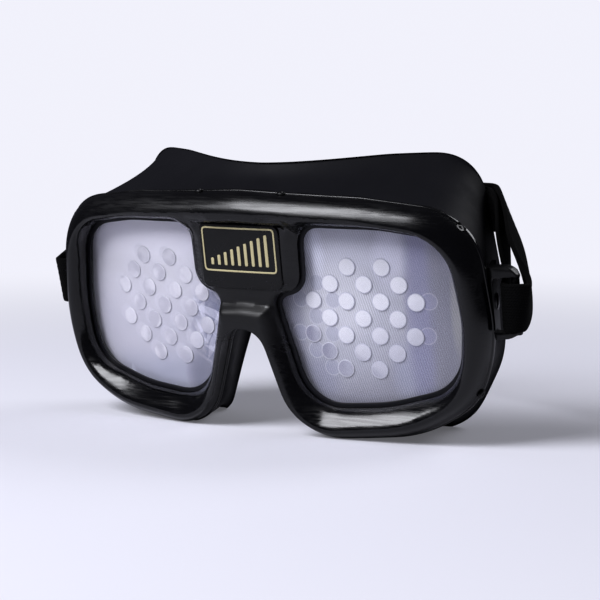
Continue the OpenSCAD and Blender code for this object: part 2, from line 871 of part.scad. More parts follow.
slide_range = 8; // Travel each way
slot_ease = 0.3;
module right_slider() {
    slot_t = web_t + 2 * slot_ease;
    slot_w = web_w + 2 * slot_ease;
    middle = mix(run_front, run_back, 0.58) + layer_step / 2 * run_in;
    translate(middle)
        rotate([atan2(run_in[2], run_up[2]), -asin(run_dir[2]), atan2(run_dir[1], run_dir[0])])
            difference() {
                cube([slider_l, layer_step + slot_t + 2 * slider_wall, slot_w + 2 * slider_wall],
                    center = true);
                for (s = [-1, 1])
                    translate([0, s * layer_step / 2, 0])
                        cube([2 * slider_l, slot_t, slot_w], center = true);
            }
}

module left_strap_slider() color([0.1, 0.1, 0.1]) stand() on_side(-1) right_slider();
module right_strap_slider() color([0.1, 0.1, 0.1]) stand() right_slider();

front_bezel();
cover_lens();
left_groove_film();
right_groove_film();
left_disc_set();
right_disc_set();
left_lens_gasket();
right_lens_gasket();
lens_carrier();
badge_plate();
badge_inlay();
rim_snap_pins();
face_skirt();
left_strap_bracket();
right_strap_bracket();
bracket_rivets();
rivet_washers();
head_strap();
left_strap_slider();
right_strap_slider();
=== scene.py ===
"""Looks of the alcohol impairment goggles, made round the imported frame.

Shapes are worked out in millimetres with the face upright, as in the part's source: x runs
left to right, y from the front to the head and z up. stand() then leans them onto the table.
"""
import math
from contextlib import contextmanager

import bmesh
import bpy
import numpy as np
from mathutils import Matrix, Vector
from mathutils.geometry import delaunay_2d_cdt


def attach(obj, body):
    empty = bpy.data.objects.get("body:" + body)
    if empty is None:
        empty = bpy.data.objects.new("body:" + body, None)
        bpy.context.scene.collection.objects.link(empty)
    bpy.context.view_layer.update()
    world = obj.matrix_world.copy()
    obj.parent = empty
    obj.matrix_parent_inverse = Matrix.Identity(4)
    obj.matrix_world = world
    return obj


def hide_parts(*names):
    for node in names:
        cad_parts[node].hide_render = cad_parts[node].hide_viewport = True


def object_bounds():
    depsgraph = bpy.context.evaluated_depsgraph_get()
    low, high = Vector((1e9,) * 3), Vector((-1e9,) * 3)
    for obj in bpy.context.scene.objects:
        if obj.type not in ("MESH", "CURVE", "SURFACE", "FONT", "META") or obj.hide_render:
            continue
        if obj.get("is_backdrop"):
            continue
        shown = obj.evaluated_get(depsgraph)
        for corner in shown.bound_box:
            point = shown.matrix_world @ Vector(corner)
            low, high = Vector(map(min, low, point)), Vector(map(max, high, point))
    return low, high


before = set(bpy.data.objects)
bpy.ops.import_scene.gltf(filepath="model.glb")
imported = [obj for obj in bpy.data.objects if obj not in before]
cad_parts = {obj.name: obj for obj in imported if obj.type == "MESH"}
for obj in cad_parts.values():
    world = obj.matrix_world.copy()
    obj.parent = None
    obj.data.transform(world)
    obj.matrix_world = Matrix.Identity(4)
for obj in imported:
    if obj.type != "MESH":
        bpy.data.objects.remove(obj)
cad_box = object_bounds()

# Driving sizes, as in the part's source
HALF_W, BROW_H, LOBE_DROP, FRONT_R = 86.0, 41.1, 43.6, 337.0
LEAN, EYE_H, MID_DEPTH = math.radians(9.5), 40.9, 32.6
CREST_H, RIM_BACK, BEVEL_W, RIM_WALL = 6.0, 2.4, 4.6, 1.8
SHOULDER_TOP, SHOULDER_SIDE, SHOULDER_LOW = 6.2, 4.6, 4.0
CREST_FLAT, ARCH_DROP, PANEL_H = 0.8, 4.0, 2.0
LIP_T, GASKET_T, GASKET_SHOW, LENS_T = 1.2, 0.7, 1.4, 2.2
DISC_T, DISC_D, DISC_X, DISC_Z, DISC_TILT = 0.3, 6.0, 6.05, 11.5, 5.5
FILM_T, CARRIER_T, PACK_LAP = 0.4, 2.0, 0.5
BADGE_W, BADGE_H, BADGE_T, BADGE_R = 31.6, 21.8, 1.4, 2.4
SKIRT_T, BROW_DEPTH, TEMPLE_DEPTH, FLARE_H, NOSE_REACH = 2.0, 16.0, 45.0, 3.4, 3.4
WEB_W, WEB_T, BAR_D, ARM_T, LOW_ARM_T, ARM_GAP = 16.0, 1.5, 2.8, 3.6, 2.2, 18.0
TOUCH, EASE, NECK_T, TUCK, FACET_GAP = 0.1, 0.2, 1.3, 1.8, 0.05

SIDES = {1: "right", -1: "left"}
UP = [0, 0, 1]


# Small functions

def sag(x):
    """How far the curved front lies back at x."""
    return FRONT_R - np.sqrt(FRONT_R ** 2 - np.square(np.asarray(x, float)))


def stand(points):
    """Face-upright millimetres to the shared frame's metres."""
    p = np.asarray(points, float)
    x, y, z = p[..., 0], p[..., 1], p[..., 2]
    c, s = math.cos(LEAN), math.sin(LEAN)
    return np.stack([x, y * c - z * s - MID_DEPTH, EYE_H + y * s + z * c], -1) / 1000


def unit(v):
    v = np.asarray(v, float)
    return v / np.linalg.norm(v, axis=-1, keepdims=True)


def mix(a, b, t):
    return np.asarray(a, float) + (np.asarray(b, float) - np.asarray(a, float)) * t


def smoothstep(a, b, x):
    t = np.clip((x - a) / (b - a), 0, 1)
    return t * t * (3 - 2 * t)


def axes_at(at, across, up, ahead):
    """Maps local x, y and z to a place with three directions of its own."""
    return lambda p: np.asarray(at) + p @ np.array([across, up, ahead], float)


# Outlines

ARC_N, LINE_N = 12, 10


def corner_loop(corners):
    """A closed loop whose corners [x, z, radius] are rounded, with the same count of points
    at every corner and on every straight stretch, so that loops can be joined point to point."""
    p = np.array(corners, float)
    n = len(p)
    arcs = []
    for i in range(n):
        at, before, after = p[i, :2], p[i - 1, :2] - p[i, :2], p[(i + 1) % n, :2] - p[i, :2]
        half = math.acos(float(unit(before) @ unit(after))) / 2
        run = min(p[i, 2] / math.tan(half), 0.48 * np.linalg.norm(before),
                  0.48 * np.linalg.norm(after))
        r = run * math.tan(half)
        centre = at + unit(unit(before) + unit(after)) * r / math.sin(half)
        first, last = at + unit(before) * run - centre, at + unit(after) * run - centre
        sweep = math.pi - 2 * half
        arcs.append([centre + (math.sin(sweep * (1 - k / ARC_N)) * first
                               + math.sin(sweep * k / ARC_N) * last) / math.sin(sweep)
                     for k in range(ARC_N + 1)])
    out = []
    for i in range(n):
        out += arcs[i]
        out += [mix(arcs[i][-1], arcs[(i + 1) % n][0], k / (LINE_N + 1))
                for k in range(1, LINE_N + 1)]
    return np.array(out)


def both_halves(h):
    return h + [[-c[0], c[1], c[2]] for c in h[-2:0:-1]]


def steps_along(loop, count):
    """Fractional indices of evenly spaced points along a loop."""
    closed = np.vstack([loop, loop[:1]])
    run = np.concatenate([[0], np.cumsum(np.linalg.norm(np.diff(closed, axis=0), axis=1))])
    return np.interp(np.linspace(0, run[-1], count, endpoint=False), run, np.arange(len(run)))


def at_steps(loop, steps):
    closed = np.vstack([loop, loop[:1]])
    k = np.arange(len(closed))
    return np.stack([np.interp(steps, k, closed[:, c]) for c in range(loop.shape[1])], 1)


def evenly(corners, count):
    loop = corner_loop(corners)
    return at_steps(loop, steps_along(loop, count))


def soften(loop, rounds):
    """The loop with its changes of curvature spread out."""
    for _ in range(rounds):
        loop = loop / 2 + (np.roll(loop, 1, 0) + np.roll(loop, -1, 0)) / 4
    return loop


def inset(loop, w):
    """A clockwise loop moved inwards by w, or outwards where w is negative."""
    t = unit(np.roll(loop, -1, 0) - np.roll(loop, 1, 0))
    return loop + w * np.stack([t[:, 1], -t[:, 0]], 1)


def wrap(loop, depth):
    """The loop laid on the curved front, a depth behind it."""
    return np.stack([loop[:, 0], sag(loop[:, 0]) + depth, loop[:, 1]], 1)


def distance(loop, q):
    """Distance of points q from a closed loop, negative inside it."""
    best, inside = np.full(len(q), 1e9), np.zeros(len(q), bool)
    for a, b in zip(loop, np.roll(loop, -1, 0)):
        d = b - a
        t = np.clip(((q - a) @ d) / max(d @ d, 1e-12), 0, 1)
        best = np.minimum(best, np.square(q - a - t[:, None] * d).sum(1))
        spans = (a[1] > q[:, 1]) != (b[1] > q[:, 1])
        if spans.any():
            inside ^= spans & (q[:, 0] < d[0] * (q[:, 1] - a[1]) / (d[1] or 1e-12) + a[0])
    return np.where(inside, -1, 1) * np.sqrt(best)


def mirrored(loop):
    """The loop's mirror image, still clockwise."""
    return (loop * [-1, 1])[::-1]


def tucked(loop):
    return loop * [1 - TUCK / HALF_W, 1]


def rounded_rect(w, h, r, middle=(0, 0), arc=10, spacing=1.0):
    out = []
    for sx, sz, turn in [(1, 1, 90), (1, -1, 0), (-1, -1, -90), (-1, 1, -180)]:
        for k in range(arc + 1):
            a = math.radians(turn - 90 * k / arc)
            out.append([middle[0] + sx * (w / 2 - r) + r * math.cos(a),
                        middle[1] + sz * (h / 2 - r) + r * math.sin(a)])
    loop = np.array(out)
    perimeter = np.linalg.norm(np.roll(loop, -1, 0) - loop, axis=1).sum()
    return at_steps(loop, steps_along(loop, max(8, int(perimeter / spacing))))


RIM_HALF = [
    [0, BROW_H, 60], [HALF_W - 41, BROW_H - 2, 60], [HALF_W - 4.5, BROW_H - 7.2, 22],
    [HALF_W, -8.3, 60], [HALF_W - 6.8, 14.4 - LOBE_DROP, 22],
    [HALF_W - 25.3, 3.4 - LOBE_DROP, 60], [20.5, -LOBE_DROP, 18],
    [8, -3 - ARCH_DROP, 8], [0, -ARCH_DROP, 8]]
SHOULDER_SHARE = [[0, 1, 0], [0, 1, 0], [1, 1, 0], [1, 0, 0], [0.6, 0, 0.4], [0.6, 0, 1],
                  [0.6, 0, 0.95], [0.1, 0, 0], [0, 0, 0]]
CREST_HALF = [[c[0] - s[0] * SHOULDER_SIDE, c[1] - s[1] * SHOULDER_TOP + s[2] * SHOULDER_LOW, c[2]]
              for c, s in zip(RIM_HALF, SHOULDER_SHARE)]
CREST_X, CREST_TOP = HALF_W - SHOULDER_SIDE, BROW_H - SHOULDER_TOP
CREST_LOW, PANEL_HALF_W, PANEL_LOW = LOBE_DROP - SHOULDER_LOW, 16.6, 2.8
PANEL_TOP = CREST_TOP - BEVEL_W + 0.4
OPENING = [
    [PANEL_HALF_W + 4.5, CREST_TOP - BEVEL_W, 7], [HALF_W - 36, CREST_TOP - BEVEL_W - 0.7, 60],
    [CREST_X - BEVEL_W - 4.4, CREST_TOP - BEVEL_W - 4.4, 20], [CREST_X - BEVEL_W - 0.4, -1, 60],
    [CREST_X - BEVEL_W - 2.3, 15.6 - CREST_LOW, 18], [HALF_W - 36.7, 8.9 - CREST_LOW, 60],
    [20.1, 7 - CREST_LOW, 16], [9.6, 5.2, 4.5], [PANEL_HALF_W + 4.1, 8.7, 6]]
BEVEL = [
    [8, CREST_TOP - CREST_FLAT, 5], [HALF_W - 41, CREST_TOP - CREST_FLAT - 2, 60],
    [CREST_X - CREST_FLAT - 4.5, CREST_TOP - CREST_FLAT - 7.2, 20],
    [CREST_X - CREST_FLAT, -8.3, 60], [HALF_W - 9.5 - CREST_FLAT, 16 - LOBE_DROP + CREST_FLAT, 20],
    [HALF_W - 28, 7.4 - LOBE_DROP + CREST_FLAT, 60], [18.6, 4.6 - LOBE_DROP, 18],
    [8.2, -3 - ARCH_DROP, 6], [7.4, CREST_FLAT - ARCH_DROP, 4]]
BACK_HALF = [
    [0, BROW_H + 6.2, 60], [HALF_W - 46, BROW_H + 6.8, 60], [HALF_W - 19, BROW_H + 5.5, 21],
    [HALF_W - 13.8, 4, 60], [HALF_W - 13.9, 21.6 - LOBE_DROP, 34],
    [HALF_W - 28.5, -LOBE_DROP - 6, 22], [33, -LOBE_DROP - 4.4, 16], [14.6, -14, 9], [0, 4, 9]]

RIM_COUNT, OPENING_COUNT = 640, 300
raw_rim, raw_crest, raw_back = [corner_loop(both_halves(h))
                                for h in (RIM_HALF, CREST_HALF, BACK_HALF)]
rim_steps = steps_along(raw_rim, RIM_COUNT)
rim = soften(at_steps(raw_rim, rim_steps), 6)
crest = soften(at_steps(raw_crest, rim_steps), 6)
back = soften(at_steps(raw_back, rim_steps), 16)
opening, bevel = [soften(evenly(c, OPENING_COUNT), 4) for c in (OPENING, BEVEL)]


# Meshes

def fill(outer, holes=(), spacing=2.0, extra=None):
    """Triangles between loops. Returns points, whose first ones are the loops', and triangles."""
    def within(q, gap):
        keep = distance(outer, q) < -gap
        for h in holes:
            keep &= distance(h, q) > gap
        return keep

    def cell(q):
        return tuple(np.round(q / (spacing * 0.8)).astype(int))

    edges, start = [], 0
    for l in [outer, *holes]:
        edges += [(start + i, start + (i + 1) % len(l)) for i in range(len(l))]
        start += len(l)
    lo, hi = outer.min(0), outer.max(0)
    rows = np.arange(lo[1], hi[1], spacing * 0.866)
    grid = np.array([[x + (k % 2) * spacing / 2, z] for k, z in enumerate(rows)
                     for x in np.arange(lo[0], hi[0], spacing)])
    grid = grid[within(grid, 0.5 * spacing)]
    if extra is not None:
        extra = extra[within(extra, 0.3 * spacing)]
        taken = {cell(q) for q in extra}
        grid = np.vstack([extra, [q for q in grid if cell(q) not in taken]])
    points = np.vstack([outer, *holes, grid])
    faces, ids = delaunay_2d_cdt([Vector(p) for p in points], edges, [], 1, 1e-6, True)[2:4]
    source = [i[0] if i else 0 for i in ids]
    tris = np.array([[source[k] for k in f] for f in faces if len(f) == 3])
    return points, tris[within(points[tris].mean(1), 0)]


def placed(name, data):
    """A new object in the scene."""
    o = bpy.data.objects.new(name, data)
    bpy.context.collection.objects.link(o)
    return o


@contextmanager
def editing(mesh):
    b = bmesh.new()
    b.from_mesh(mesh)
    yield b
    b.to_mesh(mesh)
    b.free()


def shade(b, angle):
    """Smooth shading with the edges over an angle kept crisp."""
    for f in b.faces:
        f.smooth = True
    for e in b.edges:
        e.smooth = not (len(e.link_faces) == 2 and e.calc_face_angle(0) > math.radians(angle))


def map_points(mesh, name, uv):
    """A UV map from two numbers for each point."""
    ids = np.array([l.vertex_index for l in mesh.loops])
    mesh.uv_layers.new(name=name).data.foreach_set("uv", np.asarray(uv)[ids].ravel())


class Shell:
    """Gathers rings and caps of one mesh."""

    def __init__(self):
        self.points, self.faces, self.count = [], [], 0

    def add(self, points):
        start = self.count
        self.points.append(np.asarray(points, float))
        self.count += len(points)
        return np.arange(start, self.count)

    def join(self, a, b):
        n = len(a)
        self.faces += [(a[i], b[i], b[(i + 1) % n], a[(i + 1) % n]) for i in range(n)]

    def cap(self, ids, tris):
        self.faces += [ids[t] for t in tris]

    def rings(self, loops, ids):
        """Joins 3-D loops one after the other; returns the last one's indices."""
        for l in loops:
            new = self.add(l)
            self.join(ids, new)
            ids = new
        return ids

    def object(self, name, weld=1e-5, crease=180, web=None):
        """The mesh welded, with its faces outwards, over the table and smooth up to a crease."""
        mesh = bpy.data.meshes.new(name)
        mesh.from_pydata(stand(np.vstack(self.points)).tolist(), [],
                         [tuple(int(i) for i in f) for f in self.faces])
        if web is not None:
            map_points(mesh, "web", web)
        with editing(mesh) as b:
            bmesh.ops.remove_doubles(b, verts=b.verts, dist=weld)
            for v in b.verts:
                v.co.z = max(v.co.z, 0.0)
            bmesh.ops.recalc_face_normals(b, faces=b.faces)
            shade(b, crease)
        return placed(name, mesh)


def joined(name, parts):
    """One object from several, with their meshes put together."""
    mesh = bpy.data.meshes.new(name)
    with editing(mesh) as b:
        for o in parts:
            b.from_mesh(o.data)
            bpy.data.objects.remove(o)
    return placed(name, mesh)


def with_twin(o, name):
    """A right piece and its mirror image on the left, each with its side's word."""
    mesh = o.data.copy()
    mesh.transform(Matrix.Scale(-1, 4, (1, 0, 0)))
    mesh.flip_normals()
    return [(o, SIDES[1]), (placed(name, mesh), SIDES[-1])]


def face_map(o):
    """A UV map that holds the face-upright x and z of each point, in decimetres."""
    c, s = math.cos(LEAN), math.sin(LEAN)
    co = np.array([v.co for v in o.data.vertices]) * 1000 + [0, MID_DEPTH, -EYE_H]
    flat = np.stack([co[:, 0], co[:, 2] * c - co[:, 1] * s], 1) / 100
    map_points(o.data, "face", flat)
    return flat * 100


def applied(o):
    """The object with its mesh as its modifiers make it."""
    bpy.context.view_layer.update()
    mesh = bpy.data.meshes.new_from_object(o.evaluated_get(bpy.context.evaluated_depsgraph_get()))
    o.modifiers.clear()
    o.data = mesh
    return o


def cut(o, cutter, crease):
    """Cuts one mesh out of another and keeps the result."""
    m = o.modifiers.new("cut", "BOOLEAN")
    m.operation, m.solver, m.object = "DIFFERENCE", "EXACT", cutter
    applied(o)
    bpy.data.objects.remove(cutter)
    with editing(o.data) as b:
        shade(b, crease)
    return o


def melted(name, parts, voxel, rounds):
    """One closed mesh from overlapping solids, with its corners and joints rounded off."""
    o = joined(name, parts)
    m = o.modifiers.new("remesh", "REMESH")
    m.mode, m.voxel_size = "VOXEL", voxel / 1000
    s = o.modifiers.new("smooth", "SMOOTH")
    s.factor, s.iterations = 0.5, rounds
    for p in applied(o).data.polygons:
        p.use_smooth = True
    return o


def eased(steps, scale, low, high, ease, between=()):
    """The insets and depths down a wall with eased edges, from one face to the other."""
    down = [(scale * w, low + ease * d) for w, d in steps]
    return down + [*between] + [(scale * w, high - ease * d) for w, d in reversed(steps)]


def walled(outer, holes, spacing, place, wall, hole_wall):
    """A solid between two faces with holes. place lays points at a depth."""
    loops, walls = [outer, *holes], [wall] + [hole_wall] * len(holes)
    edges = [inset(l, w[0][0]) for l, w in zip(loops, walls)]
    points, tris = fill(edges[0], edges[1:], spacing)
    shell = Shell()
    front, behind = [shell.add(place(points, wall[k][1])) for k in (0, -1)]
    shell.cap(front, tris)
    shell.cap(behind, tris[:, ::-1])
    start = 0
    for l, steps in zip(loops, walls):
        end = start + len(l)
        ring = shell.rings([place(inset(l, w), d) for w, d in steps[1:-1]], front[start:end])
        shell.join(ring, behind[start:end])
        start = end
    return shell


def bent_plate(name, outer, holes, d0, d1, ease, spacing=3.0):
    """A plate bent to the front's curve between depths d0 and d1, with eased edges."""
    steps = [(1, 0), (0.55, 0.1), (0.2, 0.35), (0, 1)]
    walls = [eased(steps, scale, d0, d1, ease) for scale in (ease, -ease)]
    return walled(outer, holes, spacing, wrap, *walls).object(name, crease=50)


def turned(profile, place, turns=40, ring=False):
    """A profile [radius, height] turned about an axis. place maps local x, y and height to the
    face-upright frame. A ring's last circle joins its first, and other profiles are capped."""
    angle = np.linspace(0, 2 * math.pi, turns, endpoint=False)
    circles = [place(np.stack([r * np.cos(angle), r * np.sin(angle), np.full(turns, h)], 1))
               for r, h in profile]
    shell = Shell()
    first = shell.add(circles[0])
    last = shell.rings(circles[1:], first)
    if ring:
        shell.join(last, first)
    else:
        shell.faces += [first, last[::-1]]
    return shell.object("turned", crease=40)


def prism(outline, low, high, place=np.asarray):
    """A solid from a plan [x, y] between two heights."""
    shell = Shell()
    a, b = [shell.add(place(np.column_stack([outline, np.full(len(outline), h)])))
            for h in (low, high)]
    shell.join(a, b)
    shell.faces += [a[::-1], b]
    return shell.object("prism")


# Materials

class Nodes:
    """A node tree with short ways to add nodes, most of which return the new node's output."""

    def __init__(self, owner):
        owner.use_nodes = True
        self.owner, self.tree = owner, owner.node_tree

    def feed(self, socket, v):
        if isinstance(v, bpy.types.NodeSocket):
            self.tree.links.new(v, socket)
        else:
            socket.default_value = (*v, 1) if socket.type == "RGBA" else v

    def node(self, kind, inputs=(), **settings):
        """A node whose inputs, by place or by name, are plain values or other outputs."""
        n = self.tree.nodes.new("ShaderNode" + kind)
        for k, v in settings.items():
            setattr(n, k, v)
        for k, v in inputs.items() if isinstance(inputs, dict) else enumerate(inputs):
            self.feed(n.inputs[k], v)
        return n

    def math(self, operation, *values, clamp=False):
        return self.node("Math", values, operation=operation, use_clamp=clamp).outputs[0]

    def plus(self, a, b):
        return self.math("ADD", a, b)

    def minus(self, a, b):
        return self.math("SUBTRACT", a, b)

    def times(self, a, b):
        return self.math("MULTIPLY", a, b)

    def wave(self, run, pitch):
        return self.math("SINE", self.times(run, 2 * math.pi / pitch))

    def ramp(self, value, low, high, out=(0, 1), smooth=True):
        kind = "SMOOTHSTEP" if smooth else "LINEAR"
        n = self.node("MapRange", (value, low, high, *out), interpolation_type=kind)
        return n.outputs["Result"]

    def blend(self, factor, a, b):
        """A mix of two colours, each a plain one or an output."""
        return self.node("Mix", {0: factor, 6: a, 7: b}, data_type="RGBA").outputs[2]

    def place(self):
        return self.node("TexCoord").outputs["Object"]

    def noise(self, scale, detail=3.0, rough=0.55, place=None):
        n = self.node("TexNoise", {"Vector": place or self.place(), "Scale": scale,
                                   "Detail": detail, "Roughness": rough})
        return n.outputs["Fac"]

    def split(self, vector):
        return self.node("SeparateXYZ", [vector]).outputs

    def uv(self, name):
        return self.node("UVMap", uv_map=name).outputs["UV"]

    def uv_mm(self, name):
        """The two numbers of a UV map that holds decimetres."""
        return [self.times(v, 100) for v in self.split(self.uv(name))[:2]]

    def length(self, vector):
        return self.node("VectorMath", [vector], operation="LENGTH").outputs["Value"]

    def squares(self, a, b):
        return self.plus(self.times(a, a), self.times(b, b))

    def blob(self, x, z, at, size):
        """1 at a place, falling smoothly to 0 at an ellipse round it."""
        a, b = [self.math("DIVIDE", self.minus(v, middle), half)
                for v, middle, half in zip((x, z), at, size)]
        return self.ramp(self.squares(a, b), 1.0, 0.0)

    def surface(self, values, height=None, relief_mm=0.0, strength=0.4):
        """Feeds the shader's sockets and its relief, and returns the material."""
        shader = self.tree.nodes["Principled BSDF"]
        for k, v in values.items():
            self.feed(shader.inputs[k], v)
        if height is not None:
            n = self.node("Bump", {"Strength": strength, "Distance": relief_mm / 1000,
                                   "Height": height})
            self.feed(shader.inputs["Normal"], n.outputs["Normal"])
        return self.owner


def material(name):
    return Nodes(bpy.data.materials.new(name))


def moulded(name, color, rough, rough_range, grain_scale, grain_mm, specular=0.5, drift=0.3):
    """Moulded plastic or rubber: fine grain, slow changes of colour and gloss, faint wear."""
    k = material(name)
    slow = k.noise(35, 2)
    wear = k.times(slow, k.noise(140, 4, 0.7))
    lighter = tuple(c * (1 + drift) for c in color)
    return k.surface({"Base Color": k.blend(slow, color, lighter),
                      "Roughness": k.ramp(wear, 0.1, 0.5, (rough, rough + rough_range)),
                      "Specular IOR Level": specular}, k.noise(grain_scale, 2), grain_mm)


def gloss_black():
    """Glossy moulding with fine wipe marks along it, which break its highlights into streaks."""
    k = material("bezel_gloss")
    slow = k.noise(35, 2)
    place = k.place()
    stretch = k.node("Mapping", {"Vector": place, "Scale": (70, 500, 1500),
                                 "Rotation": (0, 0.12, 0)}).outputs[0]
    wipe = k.times(k.noise(1.0, 4.0, 0.6, stretch), k.ramp(slow, 0.3, 0.7, (0.7, 1)))
    # The brow and the bridge are duller than the bevels
    x, _, z = k.split(place)
    bridge = k.times(k.blob(x, z, (0, 0.042), (0.022, 0.02)), 0.3)
    dull = k.math("MAXIMUM", k.ramp(z, 0.066, 0.076, (0, 0.13)), bridge)
    color = k.blend(slow, (0.002, 0.002, 0.0028), (0.0032, 0.0032, 0.0042))
    return k.surface({"Base Color": color,
                      "Roughness": k.plus(k.ramp(wipe, 0.25, 0.62, (0.08, 0.27)), dull),
                      "Specular IOR Level": 0.5}, wipe, 0.03, 0.35)


def skirt_rubber():
    return moulded("skirt_rubber", (0.0085, 0.0085, 0.011), 0.52, 0.12, 2600, 0.04, 0.09)


def hardware_black():
    return moulded("hardware_black", (0.003, 0.003, 0.0036), 0.32, 0.16, 1800, 0.05, 0.4)


def carrier_black():
    return moulded("carrier_black", (0.01, 0.01, 0.011), 0.5, 0.15, 1500, 0.06)


def gasket_grey():
    return moulded("gasket_grey", (0.006, 0.006, 0.009), 0.4, 0.15, 3000, 0.05, 0.3)


def badge_black():
    return moulded("badge_black", (0.003, 0.003, 0.0035), 0.24, 0.1, 1200, 0.02, 0.35)


def badge_gold():
    return moulded("badge_gold", (0.5, 0.45, 0.27), 0.4, 0.15, 1800, 0.03, drift=0.12)


def rivet_steel():
    k = material("rivet_steel")
    scratch = k.noise(1500, 4, 0.7)
    return k.surface({"Metallic": 1.0,
                      "Base Color": k.blend(scratch, (0.2, 0.2, 0.21), (0.32, 0.32, 0.33)),
                      "Roughness": k.ramp(scratch, 0.2, 0.8, (0.25, 0.45))}, scratch, 0.02)


DISC_MIDDLE = (HALF_W - 45.8, -2.0)
DISC_COLUMNS = [2, 3, 4, 3, 4, 3, 2]


def disc_spots():
    """The discs' middles over the right eye."""
    last = len(DISC_COLUMNS) - 1
    out = []
    for c, count in enumerate(DISC_COLUMNS):
        for row in range(count):
            up = (row - (count - 1) / 2) * DISC_Z
            across = (c - last / 2) * DISC_X
            out.append((DISC_MIDDLE[0] + across + up * math.tan(math.radians(DISC_TILT)),
                        DISC_MIDDLE[1] + up))
    return out


def spots_mask(k, x, z, spots, radius):
    """1 inside round spots with soft edges."""
    total = None
    for at in spots:
        r = k.math("SQRT", k.squares(k.minus(x, at[0]), k.minus(z, at[1])))
        one = k.ramp(r, radius + 0.1, radius - 0.1)
        total = one if total is None else k.math("MAXIMUM", total, one)
    return total


def painted_disc_reflections(k, x, z, side, color, shift, fill_color, share, chosen):
    """Painted reflections of the discs: faint doubled images moved by shift, as a toned fill and a
    pale outline.
    """
    r = DISC_D / 2 - 0.1
    spots = [(side * sx + shift[0], sz + shift[1]) for sx, sz in disc_spots() if chosen(sx, sz)]
    inner, whole = spots_mask(k, x, z, spots, r - 0.32), spots_mask(k, x, z, spots, r)
    color = k.blend(k.times(inner, share), color, fill_color)
    edge = k.math("SUBTRACT", whole, inner, clamp=True)
    return k.blend(k.times(edge, share), color, (0.7, 0.7, 0.8))


# Patches of tone on the films: middle, half size, share and colour
RIGHT_PATCHES = [
    ((34, 4), (32, 36), 0.9, (0.54, 0.545, 0.61)), ((33, 3), (15, 16), 0.6, (0.74, 0.74, 0.79)),
    ((21, 19), (8, 16), 0.7, (0.72, 0.73, 0.84)), ((13, -8), (7, 26), 0.7, (0.24, 0.24, 0.33)),
    ((51, 17), (8, 14), 0.75, (0.6, 0.6, 0.69)), ((56, -21), (9, 15), 0.5, (0.4, 0.42, 0.57)),
    ((22, -24), (10, 12), 0.6, (0.26, 0.27, 0.38)), ((60, 0), (6.5, 46), 0.8, (0.225, 0.225, 0.37)),
    ((67.5, 0), (6, 42), 0.7, (0.2, 0.2, 0.26)), ((72, 0), (2.6, 18), 0.5, (0.4, 0.4, 0.37)),
    ((40, -38), (32, 12), 0.6, (0.25, 0.25, 0.33))]
LEFT_PATCHES = [
    ((-48, 14), (36, 26), 0.85, (0.66, 0.65, 0.7)),
    ((-44, -32), (40, 16), 0.75, (0.36, 0.375, 0.48)),
    ((-79, -4), (5, 40), 0.6, (0.36, 0.36, 0.48)), ((-52, -6), (22, 24), 0.5, (0.56, 0.55, 0.62)),
    ((-25, -25), (10, 12), 0.8, (0.12, 0.125, 0.2)), ((-17, -8), (9, 18), 0.8, (0.15, 0.16, 0.25))]


def painted_crease_light(k, x, z, color):
    """Painted light and shade: feathery pale and dark streaks by the nose, where the left film
    creases.
    """
    where = k.blob(x, z, (-19, -8), (12, 18))
    for turn, squash in ((0.5, 0.2), (-0.35, 0.3), (1.2, 0.25)):
        c, d = math.cos(turn), math.sin(turn)
        axes = [k.plus(k.times(x, p * size), k.times(z, q * size))
                for p, q, size in [(c, d, 1.0), (-d, c, squash)]]
        place = k.node("CombineXYZ", axes).outputs[0]
        shard = k.node("TexVoronoi", {"Vector": place, "Scale": 0.6}, feature="F1")
        grey = k.node("RGBToBW", [shard.outputs["Color"]]).outputs[0]
        # Painted shade on some facets of the creases and painted light on others
        dark, pale = k.ramp(grey, 0.5, 0.7, (0, 0.5)), k.ramp(grey, 0.35, 0.2, (0, 0.4))
        color = k.blend(k.times(where, dark), color, (0.14, 0.15, 0.26))
        color = k.blend(k.times(where, pale), color, (0.75, 0.75, 0.88))
    return color


GROOVE_PITCH, GROOVE_LEAN, GROOVE_TONE = 0.84, math.radians(17), {1: 0.2, -1: 0.03}


def groove_film(side):
    """Hazy film with fine steep grooves, slow changes of tone and painted reflections of the discs,
    seen as doubled images.
    """
    k = material(f"groove_film_{SIDES[side]}")
    x, z = k.uv_mm("face")
    cloud = k.ramp(k.noise(28, 3, 0.5), 0.3, 0.7)
    if side > 0:
        color = k.blend(cloud, (0.25, 0.25, 0.31), (0.3, 0.3, 0.36))
    else:
        color = k.blend(cloud, (0.46, 0.46, 0.54), (0.51, 0.5, 0.57))
    for at, size, share, tone in RIGHT_PATCHES if side > 0 else LEFT_PATCHES:
        color = k.blend(k.times(k.blob(x, z, at, size), share), color, tone)
    # Fine steep grooves
    slant, depth = side * math.tan(GROOVE_LEAN), GROOVE_TONE[side]
    across = k.plus(k.plus(x, k.times(z, slant)), k.times(k.noise(25, 0), 2.0))
    line = k.times(k.wave(across, GROOVE_PITCH), k.ramp(k.noise(40, 1), 0.35, 0.65, (0.45, 1)))
    tone = k.ramp(line, -1, 1, (1 - depth, 1 + depth), smooth=False)
    # Painted light along the top, which makes up for the shadow that the brow casts on the film
    # there
    tone = k.times(tone, k.ramp(z, 9, 23, (1, 1.5)))
    color = k.node("VectorMath", {0: color, "Scale": tone}, operation="SCALE").outputs["Vector"]
    # Painted reflections of the discs, as doubled images
    if side > 0:
        color = painted_disc_reflections(k, x, z, side, color, (4.2, 0.3), (0.36, 0.36, 0.52), 0.35,
                            lambda sx, sz: sx > 56)
        color = painted_disc_reflections(k, x, z, side, color, (-5.0, 0.1), (0.36, 0.37, 0.5), 0.4,
                            lambda sx, sz: sx < 37 and sz < 14)
    else:
        color = painted_disc_reflections(k, x, z, side, color, (-2.0, 0.9), (0.62, 0.61, 0.68), 0.35,
                            lambda sx, sz: True)
        # Painted light and shade of the creases by the nose
        color = painted_crease_light(k, x, z, color)
    return k.surface({"Base Color": color, "Roughness": 0.5, "Specular IOR Level": 0.3},
                     line, 0.02)


